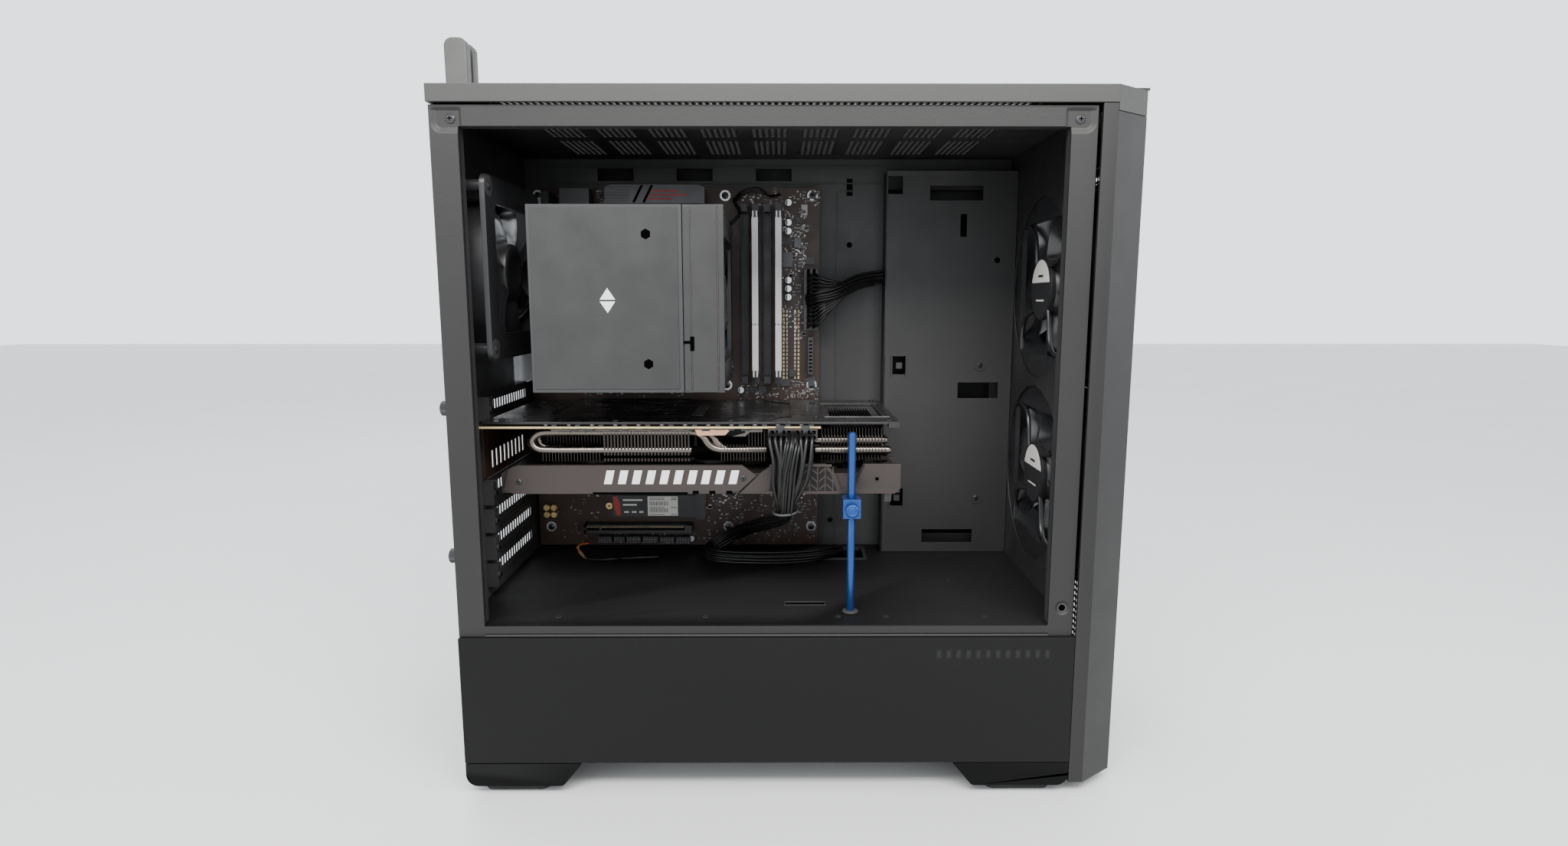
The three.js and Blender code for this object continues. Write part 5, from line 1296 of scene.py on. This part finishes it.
def memory():
    for node, x in (("ram_module_a", 194.3), ("ram_module_b", 212.9)):
        low, high = span(node)
        form = Form()
        form.box(x - 0.65, x + 0.65, low.y + 2.4, high.y, low.z, high.z, 1)
        for side in (-1, 1):
            a, b = sorted((x + side * 0.7, x + side * 2.15))
            form.box(a, b, low.y, high.y - 7, low.z + 1, high.z - 1)
            for z0, z1 in ((low.z + 12, low.z + 50), (low.z + 84, high.z - 12)):
                form.box(a - 0.05, b + 0.05, low.y + 6, high.y - 11, z0, z1)
        form.box(x - 2.6, x + 2.6, low.y - 0.3, low.y + 1.6, low.z + 6, low.z + 43)
        form.box(x - 2.6, x + 2.6, low.y - 0.3, low.y + 1.6, low.z + 43.6, high.z - 6)
        form.box(x - 2.2, x + 2.2, low.y + 0.2, low.y + 6, low.z + 0.2, low.z + 5.6, 1)
        form.box(x - 2.2, x + 2.2, low.y + 0.2, low.y + 6, high.z - 5.6, high.z - 0.2, 1)
        form.make(node + "_finished", [MODULE, MODULE_DARK], stands_for=(node,), bevel=0.35)


def drive():
    form = Form()
    near = BOARD_FACE - 4.2
    form.box(64, 144, near, near + 0.8, 147, 169, 0)
    form.box(68.5, 142, near - 1.5, near, 148.4, 167.6, 1)
    form.box(69.4, 99, near - 1.56, near - 1.45, 149, 167, 2)
    form.box(99.4, 125.5, near - 1.62, near - 1.45, 149.4, 166.6, 3)
    form.prism("y", [(149.6, 76), (149.6, 72.6), (158, 69.8), (166.4, 69.8), (166.4, 73), (160, 75.4)],
               near - 1.68, near - 1.5, 4)
    for z, a, b in ((162.6, 78, 95), (158.4, 78, 90), (152, 79, 83), (152, 85.5, 89.5), (152, 92, 95.5)):
        form.box(a, b, near - 1.64, near - 1.5, z, z + 1.5, 3)
    for z in (152.4, 158.4):
        for k in range(14):
            x = 101 + k * 1.15
            form.box(x, x + 0.35 + 0.25 * (k * 3 % 2), near - 1.7, near - 1.6, z, z + 3.6, 5)
    for z in (150.2, 156.4, 163.4, 165):
        form.box(101, 114, near - 1.68, near - 1.6, z, z + 0.5, 5)
        form.box(119.5, 124.5, near - 1.68, near - 1.6, z, z + 0.6, 5)
    form.rod("y", 158, 66, 3.1, near - 1.2, near, 24, 6, edge=0.2)
    form.rod("y", 158, 66, 1, near - 1.25, near - 1.1, 12, 5)
    standing(form, 141, 149, 146, 170, 5.6, 7)
    for z in series(16, 147.4, 1.4):
        standing(form, 148.6, 149.3, z, z + 0.6, 1.2, 6)
    form.make("drive_finished", [BOARD, CHIP, LABEL_INK, LABEL, LABEL_RED, LABEL_INK, BRASS, PORT_BLACK],
              stands_for=("m2_ssd",), bevel=0.1)


def ports():
    """The rear connectors: shield, metal shells with blue and black tongues, round jacks, antenna sockets."""
    form = Form()
    top, back = 425.3, 177.8
    form.box(0.15, 0.85, 136.3, 180.7, 266.8, 425)
    rows = ((top - 22, top - 9, 20), (top - 40, top - 24, 30), (top - 62, top - 42, 26),
            (top - 84, top - 64, 33), (top - 118, top - 99, 12), (top - 156, top - 120, 30))
    for index, (z0, z1, height) in enumerate(rows):
        form.box(0.85, 23.6, back - height, back, z0, z1)
        form.box(23.6, 24, back - height + 2, back - 2, z0 + 2, z1 - 2, 1)
        if height < 15:
            continue
        pitch = height / 2.2
        for y in series(2, back - height + 3, pitch):
            form.box(-0.35, 0.2, y - 0.6, y + pitch - 2, z0 + 1.4, z1 - 1.4)
            form.box(-0.5, -0.3, y + 0.4, y + pitch - 3, z0 + 2.6, z1 - 2.6, 1)
            form.box(-0.62, -0.45, y + 2.2, y + 4.4, z0 + 3.6, z1 - 3.6, 2 if index % 2 else 1)
    for k, z in enumerate(series(3, top - 148, 10.6)):
        form.ring("x", 169, z, 1.9, 3.8, -0.9, 0.2, 24, (3, 2, 4)[k])
        # Each jack's hole is a dark disc of painted shade.
        form.rod("x", 169, z, 1.9, -0.4, 0, 16, 5)
    for y in (154, 170):
        form.rod("x", y, 335, 3.2, -9, 1, 24, 6)
        for x in series(7, -8.6, 1.1):
            form.ring("x", y, 335, 3.1, 3.32, x, x + 0.5, 24, 6)
        form.prism("x", hexagon(y, 335, 4.6), -1.2, 0.2, 6)
    form.box(24, 30, 150, 177.6, 290, 420, 1)
    form.make("rear_ports", [PORT, PORT_BLACK, PORT_BLUE, LABEL_RED, WIRE_YELLOW, HOLE_SHADE, BRASS],
              stands_for=("rear_io_block",), bevel=0.2)


board()
regulator_heatsink()
memory()
drive()
ports()


# ---------------------------------------------------------------- power supply and front strip details

def supply_details():
    """The rear vent bars, the inlet's shroud, the switch's rim and the wire guard under the fan."""
    form = Form()
    rear, bottom, top = 1.3, 25.7, 111.7
    for y in series(21, 30, 6.8):
        if not 44 < y < 112 or y < 30:
            form.box(rear - 0.25, rear + 0.3, y, y + 1.6, bottom + 42, top - 9)
    for z in series(5, bottom + 42, 7.6):
        form.box(rear - 0.25, rear + 0.3, 30, 168, z, z + 1.6)
    for y0, y1, z0, z1 in ((46.5, 48, 7, 26.5), (72, 73.5, 7, 26.5), (48, 72, 6, 7.6), (48, 72, 25.4, 27)):
        form.box(rear - 0.9, rear + 0.2, y0, y1, bottom + z0, bottom + z1, 1)
    for y, z in ((28, bottom + 6), (166, bottom + 6), (28, top - 6), (166, top - 6)):
        screw_head(form, "x", y, z, rear - 0.3, 3.1, -1, 2, 3)
    wire_guard(form, "z", SUPPLY_FAN, (14, 26, 38, 50), bottom - 0.5, (12, 61), bottom - 0.3, 0.7, 40, 2)
    form.rod("z", *SUPPLY_FAN, 11, bottom - 0.9, bottom - 0.3, 32, 2)
    form.make("supply_details", [STEEL_DARK, PORT_BLACK, SCREW, HOLE_SHADE], bevel=0.12)


def strip_details():
    """Metal shells of the front sockets and the rings of the buttons and jacks."""
    form = Form()
    top = 465.8
    for y in (98, 120):
        for x0, x1, y0, y1 in ((429.7, 430.1, y - 6.8, y + 6.8), (434.9, 435.3, y - 6.8, y + 6.8),
                               (430.1, 434.9, y - 6.8, y - 6.5), (430.1, 434.9, y + 6.5, y + 6.8)):
            form.box(x0, x1, y0, y1, top - 5, top + 0.05)
        form.box(431.7, 433.3, y - 5.5, y + 5.5, top - 4, top - 1, 1)
    form.ring("z", 432.5, 60, 6.8, 7.3, top - 1, top + 0.04, 40)
    form.ring("z", 432.5, 78, 2.9, 3.2, top - 1, top + 0.04, 24)
    for y in (142, 152):
        form.ring("z", 432.5, y, 1.7, 2.5, top - 2, top + 0.05, 24)
    form.make("front_strip_details", [PORT, PORT_BLUE], bevel=0.08)


supply_details()
strip_details()


# ---------------------------------------------------------------- side panel, lower cover and leads

def cover_mark():
    """A plain row of low dashes where the lower cover is embossed."""
    form = Form()
    for x in series(12, 318, 6.6):
        form.prism("y", round_rect(97, 104, x, x + 4.4, 1.1, 3), -4.12, -3.95)
        form.prism("y", round_rect(98.2, 102.8, x + 1.1, x + 3.3, 0.6, 3), -4.14, -4.1, 1)
    form.make("lower_cover_dashes", [STEEL_LOWER_SHADED, STEEL_SHELF])


def seam_shadow_strips():
    """Dark strips behind the seams: painted shadow in the gaps beside the front panel and under the top cover.
    """
    form = Form()
    form.box(CASE_LENGTH + 0.2, CASE_LENGTH + 1.8, 4, 6, 30, CASE_TOP - 8)
    form.box(2, CASE_LENGTH - 2, 3, 5, CASE_TOP + 0.15, CASE_TOP + 0.95)
    form.make("seam_shadow_strips", HOLE_SHADE)


cover_mark()
seam_shadow_strips()


def bundle(form, path, count, spread, radius, twist):
    """Wires laid in a bundle round a path, which turns slowly along it."""
    total = len(path)
    tangents = [(path[min(i + 1, total - 1)] - path[max(i - 1, 0)]).normalized() for i in range(total)]
    side = tangents[0].cross(Vector((0, 0, 1)))
    if side.length < 0.1:
        side = tangents[0].cross(Vector((0, 1, 0)))
    side.normalize()
    frames = []
    for tangent in tangents:
        side = (side - tangent * side.dot(tangent)).normalized()
        frames.append((side.copy(), tangent.cross(side)))
    for k in range(count):
        reach = spread * math.sqrt((k + 0.5) / count)
        turn = k * 2.39996
        points = []
        for i, point in enumerate(path):
            wave = 0.5 * math.sin(i * 0.35 + k * 1.7)
            angle = turn + twist * i / total + 0.12 * wave
            size = reach * (1 + 0.05 * wave)
            a, b = frames[i]
            points.append(point + a * (size * math.cos(angle)) + b * (size * math.sin(angle)))
        form.tube(points, radius, 7)


LEAD_Y = (187.1 + 206.3) / 2
BOARD_LEAD = [(240, 164.8, 335), (240, 160.1, 335), (246, 154.1, 337), (260, 156, 341), (276, 166, 349),
              (290, 172, 353), (303, 176, 354), (316, 184, 353), (330, LEAD_Y, 338), (338, LEAD_Y, 306),
              (338, LEAD_Y, 240), (337, LEAD_Y, 170), (330, LEAD_Y, 130), (322, LEAD_Y, 112), (302, 186, 98),
              (256, 168, 94), (216, 142, 87), (175.3, 130, 82), (157.3, 130, 80), (141.6, 130, 80)]
CARD_LEAD = [(223, 31.7, 240), (223, 27, 240), (222, 21, 234), (220, 20, 220), (219, 22, 204), (218, 28, 190),
             (214, 42, 182), (208, 64, 174), (199, 100, 162), (188, 132, 150), (174, 148, 139), (160, 149, 130),
             (155, 139, 126.5), (170, 130, 126), (204, 128, 126), (236, 133, 126), (256, 144, 126),
             (263, 157, 122), (264, 158, 108), (262, 144, 86), (244, 118, 66), (212, 98, 58), (171.3, 90, 56),
             (156.3, 90, 56), (141.6, 90, 56)]


def lead(name, node, route, extra):
    """A bundle of wires on its CAD route, standing for the lead's CAD node. The argument extra, the wires that
    fan out to its plug, is not used.
    """
    path = smooth_path([Vector(p) for p in route], 6)
    form = Form()
    bundle(form, path, 19, 5.0, 1.15, 3.2)
    piece = form.make(name, LEAD, stands_for=(node,), angle=60)


def board_lead_fan_out():
    """Twelve pairs of wires from the board's wide socket, gathering into the bundle."""
    form = Form()
    for row, z in enumerate(series(12, 311.8, 4.1)):
        for column, x in enumerate((237, 241.8)):
            t = row / 11 - 0.5
            gather = 340 + t * 9
            form.tube(smooth_path([(x, 165.4, z), (x + 1, 160.6 - 1.5 * column, z + 0.5 * (335 - z) * 0.1),
                                   (x + 5, 156.5 - 2 * column, z + (335 - z) * 0.18),
                                   (256, 154.5 + 2.2 * column, z + (341 - z) * 0.5 + 1),
                                   (270, 160.5 + 3 * column, gather + 4), (283, 167 + 3 * column, gather + 10),
                                   (293, 171.5 + 2 * column, gather + 12)], 5), 1.1, 7)
    return form.make("board_lead_fan_out", LEAD, angle=60)


def card_lead_fan_out():
    """Two flat rows of wires from the card's two sockets, drawn together by a tie below the card."""
    form = Form()
    for block, x0 in enumerate((207.6, 224.8)):
        for k in range(4):
            for layer in range(2):
                x = x0 + 3.8 * k
                t = (block * 4 + k) / 7 - 0.5
                z = 244 if layer == 0 else 240.6
                bow = 1.3 * math.sin(k * 2.1 + layer)
                form.tube(smooth_path([(x, 31.4, z), (x, 28.4, z - 0.4), (x - 0.4, 22.6 + 2.4 * layer, z - 4),
                                       (223 + (x - 223) * 0.86 + bow, 18.6 + 3.4 * layer, 226),
                                       (220.5 + t * 22 + bow, 19 + 3.4 * layer, 212),
                                       (218.6 + t * 14, 22 + 3 * layer, 200),
                                       (218 + t * 9.5, 27 + 2.6 * layer, 190.6)], 6), 1.25, 8)
    tie = [Vector((218, 28, 190)) + Vector((8.2 * math.cos(a), 5.0 * math.sin(a), 1.5 * math.sin(a + 0.5)))
           for a in (2 * math.pi * k / 28 for k in range(29))]
    form.tube(tie, 1.0, 8, 1)
    return form.make("card_lead_fan_out", [LEAD, PORT_BLACK], angle=60)


lead("board_lead_wires", "board_lead", BOARD_LEAD, board_lead_fan_out())
lead("card_lead_wires", "card_lead", CARD_LEAD, card_lead_fan_out())


def header_leads():
    """Thin coloured leads at the board's lower edge, and fan leads above and right of the cooler."""
    form = Form()
    for k in range(4):
        path = smooth_path([(50 - 3 * k, 160, 128.5 - 0.4 * k), (44 - k, 153, 129 - k),
                            (45 + 0.8 * k, 147, 124.6),
                            (52 + k, 141 - k, 121.2), (62 + 2 * k, 139 - k, 120.8 + 0.3 * k),
                            (84, 143 - 1.6 * k, 120.8 + 0.4 * k), (112, 150 - 2 * k, 120.6 + 0.3 * k)], 6)
        form.tube(path[:20], 0.75, 6, (1, 2, 3, 0)[k])
        form.tube(path[19:], 0.95, 6, 0)
    for k in range(3):
        form.tube(smooth_path([(176, 172, 414 + k), (184, 166, 420 + k), (196, 164, 423 + 0.6 * k),
                               (206, 170, 419), (214, 176, 421)], 6), 1.1, 6, 0)
    form.tube(smooth_path([(177, 118, 392), (181, 130, 398), (182, 150, 404), (178, 168, 412)], 6), 1.6, 8, 0)
    form.make("header_leads", [LEAD, WIRE_ORANGE, WIRE_TEAL, WIRE_YELLOW], angle=60)


header_leads()
